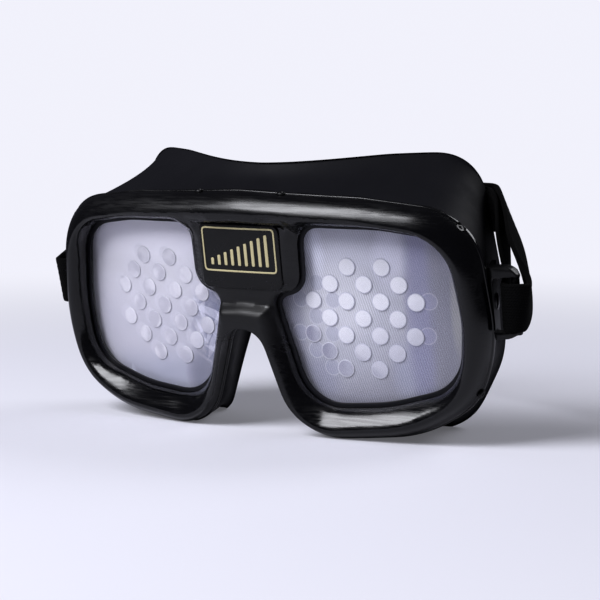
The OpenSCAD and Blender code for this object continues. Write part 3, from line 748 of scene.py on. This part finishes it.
def disc_white(side):
    """Pale discs with fine outlines. Over the right eye, a few low ones are painted dark, standing
    in for the dark skirt seen through them, and over the left eye all are faint. Each disc has
    painted shade on its left side and painted light on its right."""
    k = material(f"disc_white_{SIDES[side]}")
    x, z = k.uv_mm("face")
    grain = k.noise(500, 3)
    spot = k.uv("spot")
    outline = k.ramp(k.length(spot), 0.42, 0.48)
    # Painted shade on each disc's left side and painted light on its right
    painted_side_light = k.ramp(k.split(spot)[0], -0.25, 0.25)
    if side > 0:
        color = k.blend(grain, (0.8, 0.8, 0.86), (0.87, 0.87, 0.92))
        # Painted shade: the low discs over the right eye are dark, as if the dark skirt showed
        # through them
        low = k.ramp(k.plus(k.times(x, 0.72), z), 14, 9)
        dark = k.blend(painted_side_light, (0.2, 0.2, 0.3), (0.36, 0.36, 0.46))
        color = k.blend(k.times(low, 0.9), color, dark)
        # Painted shade: the discs grow dimmer towards the right and the bottom
        dim = k.ramp(k.minus(k.times(x, 0.5), z), 18, 44)
        color = k.blend(k.times(dim, 0.7), color, (0.46, 0.46, 0.55))
        edge = k.blend(low, (0.55, 0.55, 0.66), (0.74, 0.74, 0.82))
        color = k.blend(k.times(outline, 0.8), color, edge)
    else:
        tones = k.ramp(k.noise(130, 1), 0.4, 0.6)
        color = k.blend(tones, (0.5, 0.49, 0.56), (0.68, 0.67, 0.73))
        nosewards = k.ramp(k.minus(x, z), -30, 8)
        color = k.blend(k.times(nosewards, 0.6), color, (0.3, 0.31, 0.42))
        edge = k.blend(painted_side_light, (0.46, 0.46, 0.54), (0.74, 0.74, 0.8))
        color = k.blend(k.times(outline, 0.5), color, edge)
    return k.surface({"Base Color": color, "Roughness": 0.4}, grain, 0.02)


def lens_haze():
    """Clear hard lens with a faint haze, a soft gloss and fine wipe marks."""
    k = material("lens_haze")
    wipe = k.noise(120, 4, 0.7)
    return k.surface({"Base Color": k.blend(wipe, (0.78, 0.78, 0.88), (0.9, 0.9, 0.96)),
                      "Roughness": k.ramp(wipe, 0.3, 0.8, (0.12, 0.2)),
                      "Alpha": k.ramp(k.noise(30, 2), 0.3, 0.7, (0.05, 0.09)),
                      "Coat Weight": 0.5})


WEAVE_PITCH, TWILL_PITCH = 0.9, 0.75


def webbing():
    """Woven elastic: fine ribs along it, a close twill across it, and a soft fuzz."""
    k = material("strap_webbing")
    along, across = k.uv_mm("web")
    rib = k.wave(across, WEAVE_PITCH)
    twill = k.wave(k.plus(along, k.times(across, 0.6)), TWILL_PITCH)
    weave = k.plus(k.times(rib, 0.6), k.times(twill, 0.5))
    fuzz = k.noise(3000, 3, 0.7)
    color = k.blend(k.ramp(weave, -1, 1), (0.0006, 0.0006, 0.0008), (0.002, 0.002, 0.0024))
    color = k.blend(k.times(k.ramp(fuzz, 0.55, 0.8), 0.4), color, (0.007, 0.007, 0.0085))
    return k.surface({"Base Color": color, "Roughness": 0.85, "Sheen Weight": 0.01,
                      "Sheen Roughness": 0.5, "Specular IOR Level": 0.08},
                     k.plus(weave, k.times(fuzz, 1.2)), 0.12, 0.7)


# Bezel

GRID_MM, BLUR_MM, PANEL_STEEP, WALL_SLOPE = 0.3, 0.45, 7.0, 1.2


def roll(share, width):
    """How far a slope has risen: narrow bevels roll over like a quarter of an ellipse."""
    round_part = 0.75 * (1 - smoothstep(4.6, 8.0, width))
    return share + round_part * (np.sqrt(1 - np.square(1 - share)) - share)


def panel_outlines():
    """Outlines of the badge panel's hollow at the crest and at its floor."""
    top = [[0, CREST_TOP - CREST_FLAT, 40], [18, CREST_TOP - 1.5, 1], [17, -5, 4],
           [0, -ARCH_DROP - 0.2, 8]]
    floor = [[0, PANEL_TOP, 40], [PANEL_HALF_W + 1.5, PANEL_TOP - 0.7, 1],
             [PANEL_HALF_W + 1.5, PANEL_LOW - 1.4, 4], [0, PANEL_LOW, 20]]
    return [evenly(both_halves(h), 200) for h in (top, floor)]


def blurred(d, spread):
    """A grid of depths smoothed over a distance in millimetres."""
    reach = int(3 * spread / GRID_MM)
    k = np.exp(-0.5 * np.square(np.arange(-reach, reach + 1) * GRID_MM / spread))
    k /= k.sum()
    for axis in (0, 1):
        pad = [(reach, reach) if a == axis else (0, 0) for a in (0, 1)]
        e = np.pad(d, pad, mode="edge")
        d = sum(w * np.take(e, np.arange(i, i + d.shape[axis]), axis) for i, w in enumerate(k))
    return d


def front_depths():
    """Depth of the bezel's front behind the curved front, on a grid over its right half."""
    xs = np.arange(-2.1, HALF_W + 2, GRID_MM)
    zs = np.arange(-LOBE_DROP - 2, BROW_H + 2, GRID_MM)
    q = np.stack(np.meshgrid(xs, zs, indexing="ij"), -1).reshape(-1, 2)

    def hollow(floor_loop, top_loop, floor, steep=0.0):
        """A pocket's depth: its floor, its rolled slope and the crest beyond."""
        low, top = distance(floor_loop, q), distance(top_loop, q)
        share = np.clip(low / np.maximum(low - top, 1e-6), 0, 1)
        curve = 1 - (1 - share) ** steep if steep else roll(share, low - top)
        share = np.where(top < 0, curve, 1)
        return np.where(low < 0, floor, floor - (CREST_H + floor) * share), low

    right, inside = hollow(opening, bevel, 0.0)
    right = np.where(inside < 0, -WALL_SLOPE * inside, right)
    left, _ = hollow(mirrored(opening), mirrored(bevel), 0.0)
    top, floor = panel_outlines()
    panel, _ = hollow(floor, top, -PANEL_H, PANEL_STEEP)
    d = np.maximum.reduce([right, left, panel]).reshape(len(xs), len(zs))
    return xs, zs, blurred(d, BLUR_MM)


def front_depth(q):
    """The same depth at any points, read between the grid's."""
    xs, zs, d = front_depths()
    fx = np.clip((np.abs(q[:, 0]) - xs[0]) / GRID_MM, 0, len(xs) - 1.001)
    fz = np.clip((q[:, 1] - zs[0]) / GRID_MM, 0, len(zs) - 1.001)
    i, j = fx.astype(int), fz.astype(int)
    u, v = fx - i, fz - j
    return (d[i, j] * (1 - u) * (1 - v) + d[i + 1, j] * u * (1 - v)
            + d[i, j + 1] * (1 - u) * v + d[i + 1, j + 1] * u * v)


def front_bezel():
    shell = Shell()
    openings = [opening, mirrored(opening)]
    rows = np.vstack([inset(l, w) for l in [bevel, mirrored(bevel)] for w in (-0.5, 0, 0.5, 1.1)]
                     + [inset(l, -w) for l in openings for w in (0.5, 1.0)])
    points, tris = fill(crest, openings, 0.9, rows)
    depth = front_depth(points)
    depth[:len(crest)] = -CREST_H
    front = shell.add(wrap(points, depth))
    shell.cap(front, tris)
    # Shoulder, groove, bead, rim and the seat behind it
    bead = inset(rim, 0.4)
    rings = []
    for a in np.linspace(6, 90, 15):
        s, c = math.sin(math.radians(a)), 1 - math.cos(math.radians(a))
        out, behind = 0.3 * a / 90 + 0.7 * s, 0.3 * a / 90 + 0.7 * c
        rings.append(wrap(mix(crest, bead, out), mix(-CREST_H, 0.55, behind)))
    edge = [(0.36, 0.68), (0.16, 0.72), (0.04, 0.84), (0, 1.05), (0, 1.9), (0.06, 2.2),
            (0.3, RIM_BACK), (RIM_WALL - 0.2, RIM_BACK), (RIM_WALL, RIM_BACK - 0.2),
            (RIM_WALL, LIP_T)]
    rings += [wrap(inset(rim, w), d) for w, d in edge]
    last = shell.rings(rings, front[:len(crest)])
    seat = inset(rim, RIM_WALL)
    back_points, back_tris = fill(seat, openings, 3.0)
    behind = shell.add(wrap(back_points, LIP_T))
    shell.cap(behind, back_tris[:, ::-1])
    shell.join(last, behind[:len(seat)])
    for k in range(2):
        a, b = [ids[RIM_COUNT + k * OPENING_COUNT:][:OPENING_COUNT] for ids in (front, behind)]
        shell.join(a, b)
    return shell.object("front_bezel_shell", weld=2e-6, crease=38)


PIN_SPOTS = [[16.3, BROW_H - 1.7, 87], [HALF_W - 9.8, BROW_H - 12.7, 45],
             [HALF_W - 6.6, 18.4 - LOBE_DROP, -24]]


def at_pins(name, profile):
    """A turned form at each pin's place, pointing out of the rim."""
    parts = []
    for side in SIDES:
        for x, z, turn in PIN_SPOTS:
            a = math.radians(turn if side > 0 else 180 - turn)
            out, inwards = np.array([math.cos(a), 0, math.sin(a)]), np.array([0, 1.0, 0])
            place = axes_at([side * x, sag(x) + 0.9, z], inwards, np.cross(out, inwards), out)
            parts.append(turned(profile, place, 28))
    return joined(name, parts)


def snap_pins():
    return at_pins("snap_pins", [(0.01, -1.6), (1.05, -1.6), (1.1, 0.38), (1.5, 0.42),
                                 (1.55, 0.6), (1.55, 0.9), (1.4, 1.06), (0.75, 1.1),
                                 (0.62, 0.95), (0.55, 0.7), (0.01, 0.68)])


def pin_dimples():
    return at_pins("dimples", [(0.01, 0.32), (1.72, 0.32), (1.75, 1.2), (2.0, 2.0), (2.6, 5.0),
                               (0.01, 5.0)])


# Badge

BADGE_Z = PANEL_TOP - 0.7 - BADGE_H / 2
BADGE_FRONT = -BADGE_T / 2 - PANEL_H
INLAY_T, INLAY_LINE, INLAY_SIDE, INLAY_TOP, INLAY_LOW = 0.25, 0.6, 1.3, 1.0, 5.6
INLAY_BARS, BAR_FOOT, BAR_LEAST = 9, 2.2, 2.4


def badge_plate():
    outer = rounded_rect(BADGE_W, BADGE_H, BADGE_R, (0, BADGE_Z))
    return bent_plate("badge_plate_body", outer, [], BADGE_FRONT, BADGE_FRONT + BADGE_T - TOUCH,
                      0.3, 2.0)


def badge_inlay():
    """A plain frame and a row of rising bars over a bare strip."""
    w, h = BADGE_W - 2 * INLAY_SIDE, BADGE_H - INLAY_TOP - INLAY_LOW
    middle = BADGE_Z + (INLAY_LOW - INLAY_TOP) / 2

    def raised(outer, holes):
        top = BADGE_FRONT - INLAY_T
        return bent_plate("inlay", outer, holes, top, BADGE_FRONT + 0.05, 0.1, 1.0)

    outer, inner = [rounded_rect(w - 2 * line, h - 2 * line, BADGE_R - 1 - line, (0, middle),
                                 spacing=0.6) for line in (0, INLAY_LINE)]
    parts = [raised(outer, [inner])]
    for i in range(INLAY_BARS):
        tall = float(mix(BAR_LEAST, h - 2 * BAR_FOOT, i / (INLAY_BARS - 1)))
        x = (i - (INLAY_BARS - 1) / 2) * (BADGE_W - 7) / INLAY_BARS
        foot = middle - h / 2 + BAR_FOOT
        parts.append(raised(rounded_rect(2 * INLAY_LINE, tall, 0.25, (x, foot + tall / 2), 4, 0.5),
                            []))
    return joined("badge_inlay_lines", parts)


# Lens pack

GASKET_Y = LIP_T + FACET_GAP
LENS_Y = GASKET_Y + GASKET_T
DISC_Y = LENS_Y + LENS_T
FILM_Y = DISC_Y + DISC_T + TOUCH
CARRIER_Y = FILM_Y + FILM_T + TOUCH
pack_edge = tucked(inset(rim, RIM_WALL + EASE + NECK_T + EASE))


def sided(loop, side):
    return loop if side > 0 else mirrored(loop)


def gasket(side):
    l = sided(opening, side)
    return bent_plate(f"gasket_{SIDES[side]}", inset(l, -PACK_LAP), [inset(l, GASKET_SHOW)],
                      GASKET_Y, LENS_Y, 0.25, 1.2)


def film(side):
    o = bent_plate(f"groove_film_{SIDES[side]}", inset(sided(opening, side), -PACK_LAP), [],
                   FILM_Y, FILM_Y + FILM_T, 0.1)
    face_map(o)
    return o


def disc_set(side):
    """Thin discs in a staggered grid. A second map holds each point's place on its own disc,
    in diameters."""
    r = DISC_D / 2
    profile = [(0.01, 0), (r - 0.2, 0), (r - 0.1, 0.01), (r - 0.03, 0.04), (r, 0.1),
               (r, DISC_T - 0.06), (r - 0.08, DISC_T), (r - 0.2, DISC_T), (0.01, DISC_T)]
    parts = []
    for x, z in disc_spots():
        lean = math.asin(x / (FRONT_R - DISC_Y))
        c, s = math.cos(lean), math.sin(lean) * side
        at = [side * x, float(sag(x)) + DISC_Y + 0.03, z]
        parts.append(turned(profile, axes_at(at, [c, s, 0], UP, [-s, c, 0]), 36))
    o = joined(f"discs_{SIDES[side]}", parts)
    flat = face_map(o)
    spots = np.array(disc_spots()) * [side, 1]
    nearest = spots[np.square(flat[:, None] - spots[None]).sum(2).argmin(1)]
    map_points(o.data, "spot", (flat - nearest) / DISC_D)
    return o


def cover_lens():
    return bent_plate("cover_lens_pane", pack_edge, [], LENS_Y, DISC_Y, 0.3)


def lens_carrier():
    holes = [inset(opening, 0.4), mirrored(inset(opening, 0.4))]
    return bent_plate("lens_carrier_frame", pack_edge, holes, CARRIER_Y, CARRIER_Y + CARRIER_T,
                      0.35)


# Skirt

def face_y(q):
    """Depth of the skirt's back edge where it meets the face."""
    out = np.minimum(np.abs(q[:, 0]) / (HALF_W - 10), 1)
    low = np.clip((2 - q[:, 1]) / 12, 0, 1)
    return (mix(BROW_DEPTH, TEMPLE_DEPTH, (1 - np.cos(math.pi * out)) / 2)
            + NOSE_REACH * low * (1 - out))


back_depth = soften(face_y(back)[:, None], 20)[:, 0]
front_ring = tucked(inset(rim, 0.5))
slim_ring = inset(back, FLARE_H)


def wall_ring(s, t, extra=0.0):
    """A ring of the skirt's wall: s runs from the rim to the back edge, t is how deep in it."""
    ring = mix(front_ring, slim_ring, s ** 1.4) + (back - slim_ring) * s ** 5
    moved = inset(ring, t)
    y0 = sag(front_ring[:, 0]) + RIM_BACK + EASE
    return np.stack([moved[:, 0], mix(y0, back_depth, s) + extra, moved[:, 1]], 1)


def face_skirt():
    neck = inset(rim, RIM_WALL + EASE)
    neck_inside = tucked(inset(rim, RIM_WALL + EASE + NECK_T))
    rings = [wrap(neck, LIP_T + EASE), wrap(neck, RIM_BACK + EASE - 0.1),
             wall_ring(0, 0.15, -0.02), wall_ring(0, 0.02, 0.12), wall_ring(0.02, 0)]
    rings += [wall_ring(s, 0) for s in np.linspace(0.05, 0.985, 30)]
    r = SKIRT_T / 2
    rings += [wall_ring(1, r - r * math.cos(a), r * math.sin(a) - r)
              for a in np.radians(np.linspace(0, 180, 9))]
    rings += [wall_ring(s, SKIRT_T) for s in (0.97, 0.94, 0.91, 0.86, 0.8, 0.7, 0.58, 0.45)]
    rings += [wrap(neck_inside, CARRIER_Y + CARRIER_T + 2 * EASE),
              wrap(neck_inside, LIP_T + EASE)]
    shell = Shell()
    first = shell.add(rings[0])
    shell.join(shell.rings(rings[1:], first), first)
    return shell.object("face_skirt_shell", weld=2e-6, crease=60)


VENT_SPOTS, VENT_W, VENT_GAP = [7.7, 24.6, 41, 58.5], 8.4, 1.0


def vent_cutter():
    """Slots with round ends along the brow, just behind the rim."""
    ends = rounded_rect(VENT_W, VENT_GAP, VENT_GAP / 2 - 0.01, (0, 0), 8, 0.25)
    parts = []
    for side in SIDES:
        for x in VENT_SPOTS:
            along = unit([1, x / math.sqrt(FRONT_R ** 2 - x * x), 0]) * [side, 1, 0]
            at = [side * x, float(sag(x)) + RIM_BACK + 1.2, BROW_H - x * x / 900]
            parts.append(prism(ends, -4.5, 4.5, axes_at(at, along, [-along[1], along[0], 0], UP)))
    return joined("vents", parts)


# Brackets

BAR = (HALF_W + 4.1, float(sag(HALF_W)) + 7.8)
STRAP_Z = 2.3
BRACKET_Z = STRAP_Z + 0.3
BRACKET_LOW, BRACKET_H = BRACKET_Z - ARM_GAP / 2 - LOW_ARM_T, ARM_GAP + ARM_T + LOW_ARM_T
BRACKET_R = 5.5
FOOT_X, FOOT_T, FOOT_L, FOOT_IN = HALF_W - 1.9, 1.6, 11.0, 3.7
FOOT_FRONT = float(sag(HALF_W)) + RIM_BACK + 1
BAR_END_R = BAR_D / 2 + 0.4
RIVET_R, RIVET_SHARE = 1.5, 0.6
WASHER_T = 0.8
WASHER_Z = -FOOT_T - 1.3 - WASHER_T
CIRCLE_N, ARM_LAYER = 40, 0.3


def circle(middle, r):
    turns = [2 * math.pi * k / CIRCLE_N for k in range(CIRCLE_N)]
    return [[middle[0] + r * math.cos(a), middle[1] + r * math.sin(a)] for a in turns]


def strap_bracket():
    """A foot, two arms and a bar, with the arms' outer ends rounded as seen from the front."""
    low, high = BRACKET_LOW, BRACKET_LOW + BRACKET_H
    foot = [[FOOT_X, FOOT_FRONT], [FOOT_X - FOOT_IN, FOOT_FRONT + FOOT_L],
            [FOOT_X - FOOT_IN - FOOT_T, FOOT_FRONT + FOOT_L], [FOOT_X - FOOT_T, FOOT_FRONT]]
    tongue = [[FOOT_X - FOOT_T / 2, FOOT_FRONT], [FOOT_X, FOOT_FRONT],
              [BAR[0], BAR[1] - BAR_END_R], [BAR[0], BAR[1] + BAR_END_R],
              [FOOT_X - FOOT_IN * 0.45 - FOOT_T / 2, FOOT_FRONT + FOOT_L * 0.45]]
    parts = [prism(foot, low, high)]
    for z0, thick in [(low, LOW_ARM_T), (BRACKET_Z + ARM_GAP / 2, ARM_T)]:
        count = math.ceil(thick / ARM_LAYER)
        half = 0.5 * thick / count + 0.03
        for k in range(count):
            z = z0 + thick * (k + 0.5) / count
            into = max(BRACKET_R - min(z - low, high - z), 0)
            limit = BAR[0] + BAR_END_R - BRACKET_R + math.sqrt(BRACKET_R ** 2 - into ** 2)
            for plan in (tongue, circle(BAR, BAR_END_R)):
                parts.append(prism([[min(x, limit), y] for x, y in plan], z - half, z + half))
    parts.append(prism(circle(BAR, BAR_D / 2), BRACKET_Z - ARM_GAP / 2 - 1,
                       BRACKET_Z + ARM_GAP / 2 + 1))
    return melted("strap_bracket_right", parts, 0.28, 4)


def at_rivets(name, profile, ring=False):
    """A turned form through each bracket's foot."""
    parts = []
    a = math.atan(FOOT_IN / FOOT_L)
    for side in SIDES:
        at = [side * (FOOT_X - FOOT_IN * RIVET_SHARE), FOOT_FRONT + FOOT_L * RIVET_SHARE, BRACKET_Z]
        out, along = [side * math.cos(a), math.sin(a), 0], [-side * math.sin(a), math.cos(a), 0]
        parts.append(turned(profile, axes_at(at, along, UP, out), ring=ring))
    return joined(name, parts)


def rivets():
    r = RIVET_R
    return at_rivets("rivets", [(0.01, WASHER_Z - 0.5), (r * 0.8, WASHER_Z - 0.5),
                                (r, WASHER_Z - 0.3), (r, 0.05), (r + 1.2, 0.05), (r + 1.18, 0.3),
                                (r + 0.8, 0.58), (r * 0.6, 0.74), (0.01, 0.75)])


def washers():
    r, w, z = RIVET_R + TOUCH, RIVET_R + 1.7, WASHER_Z
    return at_rivets("washers", [(r, z), (w - 0.15, z), (w, z + 0.15), (w, z + WASHER_T - 0.15),
                                 (w - 0.15, z + WASHER_T), (r, z + WASHER_T)], ring=True)


# Strap

def temple(x, y, z):
    return [HALF_W - x, float(sag(HALF_W)) + y, z]


RUN_FRONT, RUN_BACK = np.array(temple(15, 37.6, 27)), np.array(temple(46, 55, 25))
RUN_DIR = unit(RUN_BACK - RUN_FRONT)
RUN_RISE = np.array([-0.12, -0.12, 0.97])
RUN_UP = unit(RUN_RISE - (RUN_RISE @ RUN_DIR) * RUN_DIR)
RUN_IN = np.cross(RUN_UP, RUN_DIR)
LAYER_STEP = WEB_T + 1.4
LOOP_X, LOOP_Y = BAR_D / 2 + 2.1, BAR_D / 2 + 3.4


def strap_route():
    """The webbing's middle and the direction of its width, from the back round the right bar."""
    bx, by = BAR
    inner = LAYER_STEP * RUN_IN
    return [
        ([0, float(sag(HALF_W)) + 66.8, 21.2], [0, -0.2, 1]),
        (temple(73, 65.4, 21.6), [0, -0.2, 1]),
        (temple(59, 61, 23.4), [-0.05, -0.16, 1]),
        (RUN_BACK, RUN_UP),
        (mix(RUN_BACK, RUN_FRONT, 0.25), RUN_UP),
        (mix(RUN_BACK, RUN_FRONT, 0.75), RUN_UP),
        (RUN_FRONT, RUN_UP),
        (temple(10.5, 33.8, 25.8), [-0.14, -0.3, 0.93]),
        (temple(5.6, 27.6, 21.7), [-0.12, -0.44, 0.88]),
        (temple(1.3, 21.2, 16.4), [-0.12, -0.5, 0.86]),
        (temple(-2.8, 16.2, 10.6), [-0.06, -0.4, 0.91]),
        (temple(-6.2, 12.2, 5.2), [0.06, -0.16, 0.98]),
        ([bx + LOOP_X + 0.4, by - 0.4, STRAP_Z], [0.17, 0, 1]),
        ([bx + LOOP_X * 0.76, by - LOOP_Y * 0.74, STRAP_Z], [0.12, 0.04, 1]),
        ([bx, by - LOOP_Y, STRAP_Z], [0.04, 0.04, 1]),
        ([bx - LOOP_X * 0.72, by - LOOP_Y * 0.74, STRAP_Z], [0, 0, 1]),
        ([bx - LOOP_X - 0.6, by - 0.4, STRAP_Z], [0, 0, 1]),
        (temple(1.2, 13, 5), [0, -0.06, 1]),
        (temple(4, 17, 10.2), [-0.08, -0.14, 0.98]),
        (temple(6.6, 21.4, 15.6), [-0.12, -0.18, 0.97]),
        (temple(9.2, 26.8, 20.4), [-0.12, -0.2, 0.97]),
        (temple(12.2, 32.2, 24.6), [-0.13, -0.18, 0.97]),
        (RUN_FRONT + inner, RUN_UP),
        (mix(RUN_FRONT, RUN_BACK, 0.25) + inner, RUN_UP),
        (mix(RUN_FRONT, RUN_BACK, 0.75) + inner, RUN_UP),
        (mix(RUN_FRONT, RUN_BACK, 1.12) + inner, RUN_UP)]


def through(a, b, c, d, t):
    """A smooth curve between b and c."""
    return 0.5 * (2 * b + (c - a) * t + (2 * a - 5 * b + 4 * c - d) * t * t
                  + (3 * b - a - 3 * c + d) * t ** 3)


WEB_STEPS = 14


def web_path():
    """Close stations along the whole strap, from the left end to the right one."""
    right = np.array([[*p, *w] for p, w in strap_route()], float)
    route = np.vstack([right[:0:-1] * [-1, 1, 1, -1, 1, 1], right])
    last = len(route) - 1
    out = []
    for i in range(last):
        four = [route[k] for k in (max(i - 1, 0), i, i + 1, min(i + 2, last))]
        out += [through(*four, k / WEB_STEPS) for k in range(WEB_STEPS)]
    out = np.array(out + [route[-1]])
    return out[:, :3], unit(out[:, 3:])


RIDGE_PITCH, RIDGE_SHARE = 2.1, 0.07


def head_strap():
    middles, ups = web_path()
    side = unit(np.cross(ups, unit(np.gradient(middles, axis=0))))
    run = np.concatenate([[0], np.cumsum(np.linalg.norm(np.diff(middles, axis=0), axis=1))])
    half, thick = WEB_W / 2, WEB_T / 2
    # Shallow ribs run along the webbing, and its two edges are rounded
    flat = [(1 + RIDGE_SHARE * math.cos(w * half * 2 * math.pi / RIDGE_PITCH), w)
            for w in np.linspace(-0.93, 0.93, 21)]
    edge = [(0.8, 0.975), (0.35, 1.0), (-0.35, 1.0), (-0.8, 0.975)]
    section = flat + edge + [(-a, b) for a, b in flat[::-1]] + [(-a, -b) for a, b in edge]
    shell = Shell()
    loops = [np.array([m + a * thick * s + b * half * u for a, b in section])
             for m, u, s in zip(middles, ups, side)]
    first = shell.add(loops[0])
    last = shell.rings(loops[1:], first)
    shell.faces += [first[::-1], last]
    coords = [(r / 100, b * half / 100) for r in run for _, b in section]
    return shell.object("strap_webbing_loop", 1e-7, web=coords)


SLIDER_L, SLIDER_WALL, SLOT_EASE, SLIDER_AT, SLIDER_R = 9.0, 1.8, 0.3, 0.58, 0.5
RIB_STEP, RIB_H, RIB_FROM = 1.16, 0.12, 1.6


def strap_slider():
    """A frame with two slots and rounded edges, which holds both layers of webbing."""
    middle = mix(RUN_FRONT, RUN_BACK, SLIDER_AT) + LAYER_STEP / 2 * RUN_IN
    slot_t, slot_w = WEB_T + 2 * SLOT_EASE, WEB_W + 2 * SLOT_EASE
    w, h = slot_w + 2 * SLIDER_WALL, LAYER_STEP + slot_t + 2 * SLIDER_WALL
    outer = rounded_rect(w, h, 1.5, (0, 0), 8, 0.8)
    holes = [rounded_rect(slot_w, slot_t, 0.5, (0, s * LAYER_STEP / 2), 4, 0.8) for s in (-1, 1)]

    def place(p, depth):
        # Thumb ribs across the two flat faces
        run = np.clip(depth - RIB_FROM, 0, SLIDER_L - 2 * RIB_FROM)
        rib = RIB_H * np.sin(run * 2 * math.pi / RIB_STEP)
        lift = np.where(np.abs(p[:, 1]) > h / 2 - 0.05, 1 + rib / (h / 2), 1.0)
        return (middle + (depth - SLIDER_L / 2) * RUN_DIR + p[:, :1] * RUN_UP
                + (p[:, 1] * lift)[:, None] * -RUN_IN)

    steps = [(1, 0), (0.5, 0.12), (0.15, 0.45), (0, 1)]
    body = [(0, d) for d in np.arange(SLIDER_R + 0.4, SLIDER_L - SLIDER_R - 0.2, RIB_STEP / 4)]
    walls = [eased(steps, scale * SLIDER_R, 0, SLIDER_L, SLIDER_R, between)
             for scale, between in ((1, body), (-0.5, []))]
    shell = walled(outer, holes, 1.2, place, *walls)
    return shell.object("strap_slider_right", weld=1e-6, crease=45)


# The pieces

def dress(o, body, node, look):
    """Gives a new piece its material and its place in the frame."""
    o.data.materials.clear()
    o.data.materials.append(look)
    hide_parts(node)
    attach(o, body)


def build():
    hardware, grey, steel = hardware_black(), gasket_grey(), rivet_steel()
    bezel = cut(front_bezel(), pin_dimples(), 38)
    dress(bezel, "goggles", "front_bezel", gloss_black())
    dress(snap_pins(), "goggles", "rim_snap_pins", hardware)
    dress(badge_plate(), "goggles", "badge_plate", badge_black())
    dress(badge_inlay(), "goggles", "badge_inlay", badge_gold())
    for side, word in SIDES.items():
        dress(gasket(side), "goggles", f"{word}_lens_gasket", grey)
        dress(film(side), "goggles", f"{word}_groove_film", groove_film(side))
        dress(disc_set(side), "goggles", f"{word}_disc_set", disc_white(side))
    dress(cover_lens(), "goggles", "cover_lens", lens_haze())
    dress(lens_carrier(), "goggles", "lens_carrier", carrier_black())
    skirt = cut(face_skirt(), vent_cutter(), 50)
    dress(skirt, "goggles", "face_skirt", skirt_rubber())
    for o, word in with_twin(strap_bracket(), "strap_bracket_left"):
        dress(o, "goggles", f"{word}_strap_bracket", hardware)
    dress(rivets(), "goggles", "bracket_rivets", steel)
    dress(washers(), "goggles", "rivet_washers", steel)
    dress(head_strap(), "strap", "head_strap", webbing())
    for o, word in with_twin(strap_slider(), "strap_slider_left"):
        dress(o, f"{word}_slider", f"{word}_strap_slider", hardware)


# Stage, lights and camera

BACKDROP, DIM = (0.9, 0.9, 0.975), (0.05, 0.05, 0.062)
FLOOR_R, FADE_FROM, FADE_TO, GAMMA = 6.0, 0.16, 0.6, 0.85
PHOTO_W, SENSOR_W = 600, 36


def backdrop(k):
    """Pale to the camera and dim to everything else, as in a dark studio."""
    return k.blend(k.node("LightPath").outputs["Is Camera Ray"], DIM, BACKDROP)


def stage():
    """A pale floor that fades into an even pale backdrop."""
    mesh = bpy.data.meshes.new("floor")
    with editing(mesh) as b:
        bmesh.ops.create_circle(b, cap_ends=True, radius=FLOOR_R, segments=64)
    k = material("floor_white")
    mesh.materials.append(k.surface({"Base Color": (0.735, 0.735, 0.8), "Roughness": 0.7,
                                     "Specular IOR Level": 0.1}))
    far = k.ramp(k.length(k.place()), FADE_FROM, FADE_TO, (0.15, 1))
    glow = k.node("Emission", {"Color": backdrop(k), "Strength": 1.0}).outputs[0]
    fade = k.node("MixShader", [far, k.tree.nodes["Principled BSDF"].outputs[0], glow])
    k.feed(k.tree.nodes["Material Output"].inputs["Surface"], fade.outputs[0])
    placed("floor", mesh)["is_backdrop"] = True
    world = bpy.context.scene.world = bpy.data.worlds.new("studio")
    k = Nodes(world)
    k.feed(k.tree.nodes["Background"].inputs["Color"], backdrop(k))
    bpy.context.scene.view_settings.view_transform = "Standard"
    bpy.context.scene.view_settings.gamma = GAMMA


def toward(azimuth, rise):
    """The direction at an azimuth from straight ahead and a height angle, in degrees."""
    a, e = math.radians(azimuth), math.radians(rise)
    return np.array([math.sin(a) * math.cos(e), -math.cos(a) * math.cos(e), math.sin(e)])


def soft_light(name, azimuth, rise, away, size, power):
    """A light aimed at the goggles."""
    data = bpy.data.lights.new(name, "AREA")
    data.shape, data.size, data.size_y = "RECTANGLE", size[0], size[1]
    data.energy, data.color = power, (0.95, 0.955, 1)
    middle = Vector((0, 0, 0.04))
    off = away * Vector(toward(azimuth, rise))
    o = placed(name, data)
    o.location = middle + off
    o.rotation_mode = "QUATERNION"
    o.rotation_quaternion = (-off).to_track_quat("-Z", "Y")


def camera():
    """The photograph's camera, fitted in the face-upright frame: azimuth and height angle, roll,
    distance, focal length in the photograph's pixels, and target."""
    behind, roll = toward(33.75, 13.9), math.radians(-5.27)
    dist, focal, target = 658.0, 2009, np.array([20.66, 0, 4.86])
    right = unit(np.cross(-behind, UP))
    up = np.cross(right, -behind)
    across = math.cos(roll) * right + math.sin(roll) * up
    upward = -math.sin(roll) * right + math.cos(roll) * up
    axes = [unit(stand(v) - stand(np.zeros(3))) for v in (across, upward, behind)]
    data = bpy.data.cameras.new("camera")
    data.sensor_width, data.lens = SENSOR_W, SENSOR_W * focal / PHOTO_W
    data.clip_start, data.clip_end = 0.01, 50
    o = placed("camera", data)
    columns = np.column_stack([*axes, stand(target + behind * dist)])
    o.matrix_world = Matrix(np.vstack([columns, [0, 0, 0, 1]]).tolist())
    bpy.context.scene.camera = o


build()
stage()
soft_light("key_soft", -25, 42, 1.3, (0.7, 0.84), 25)
soft_light("back_soft", 150, 38, 1.2, (0.6, 0.6), 5)
camera()

boxes = {"cad": cad_box, "visual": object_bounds()}
{k: [list(v[0]), list(v[1])] for k, v in boxes.items()}
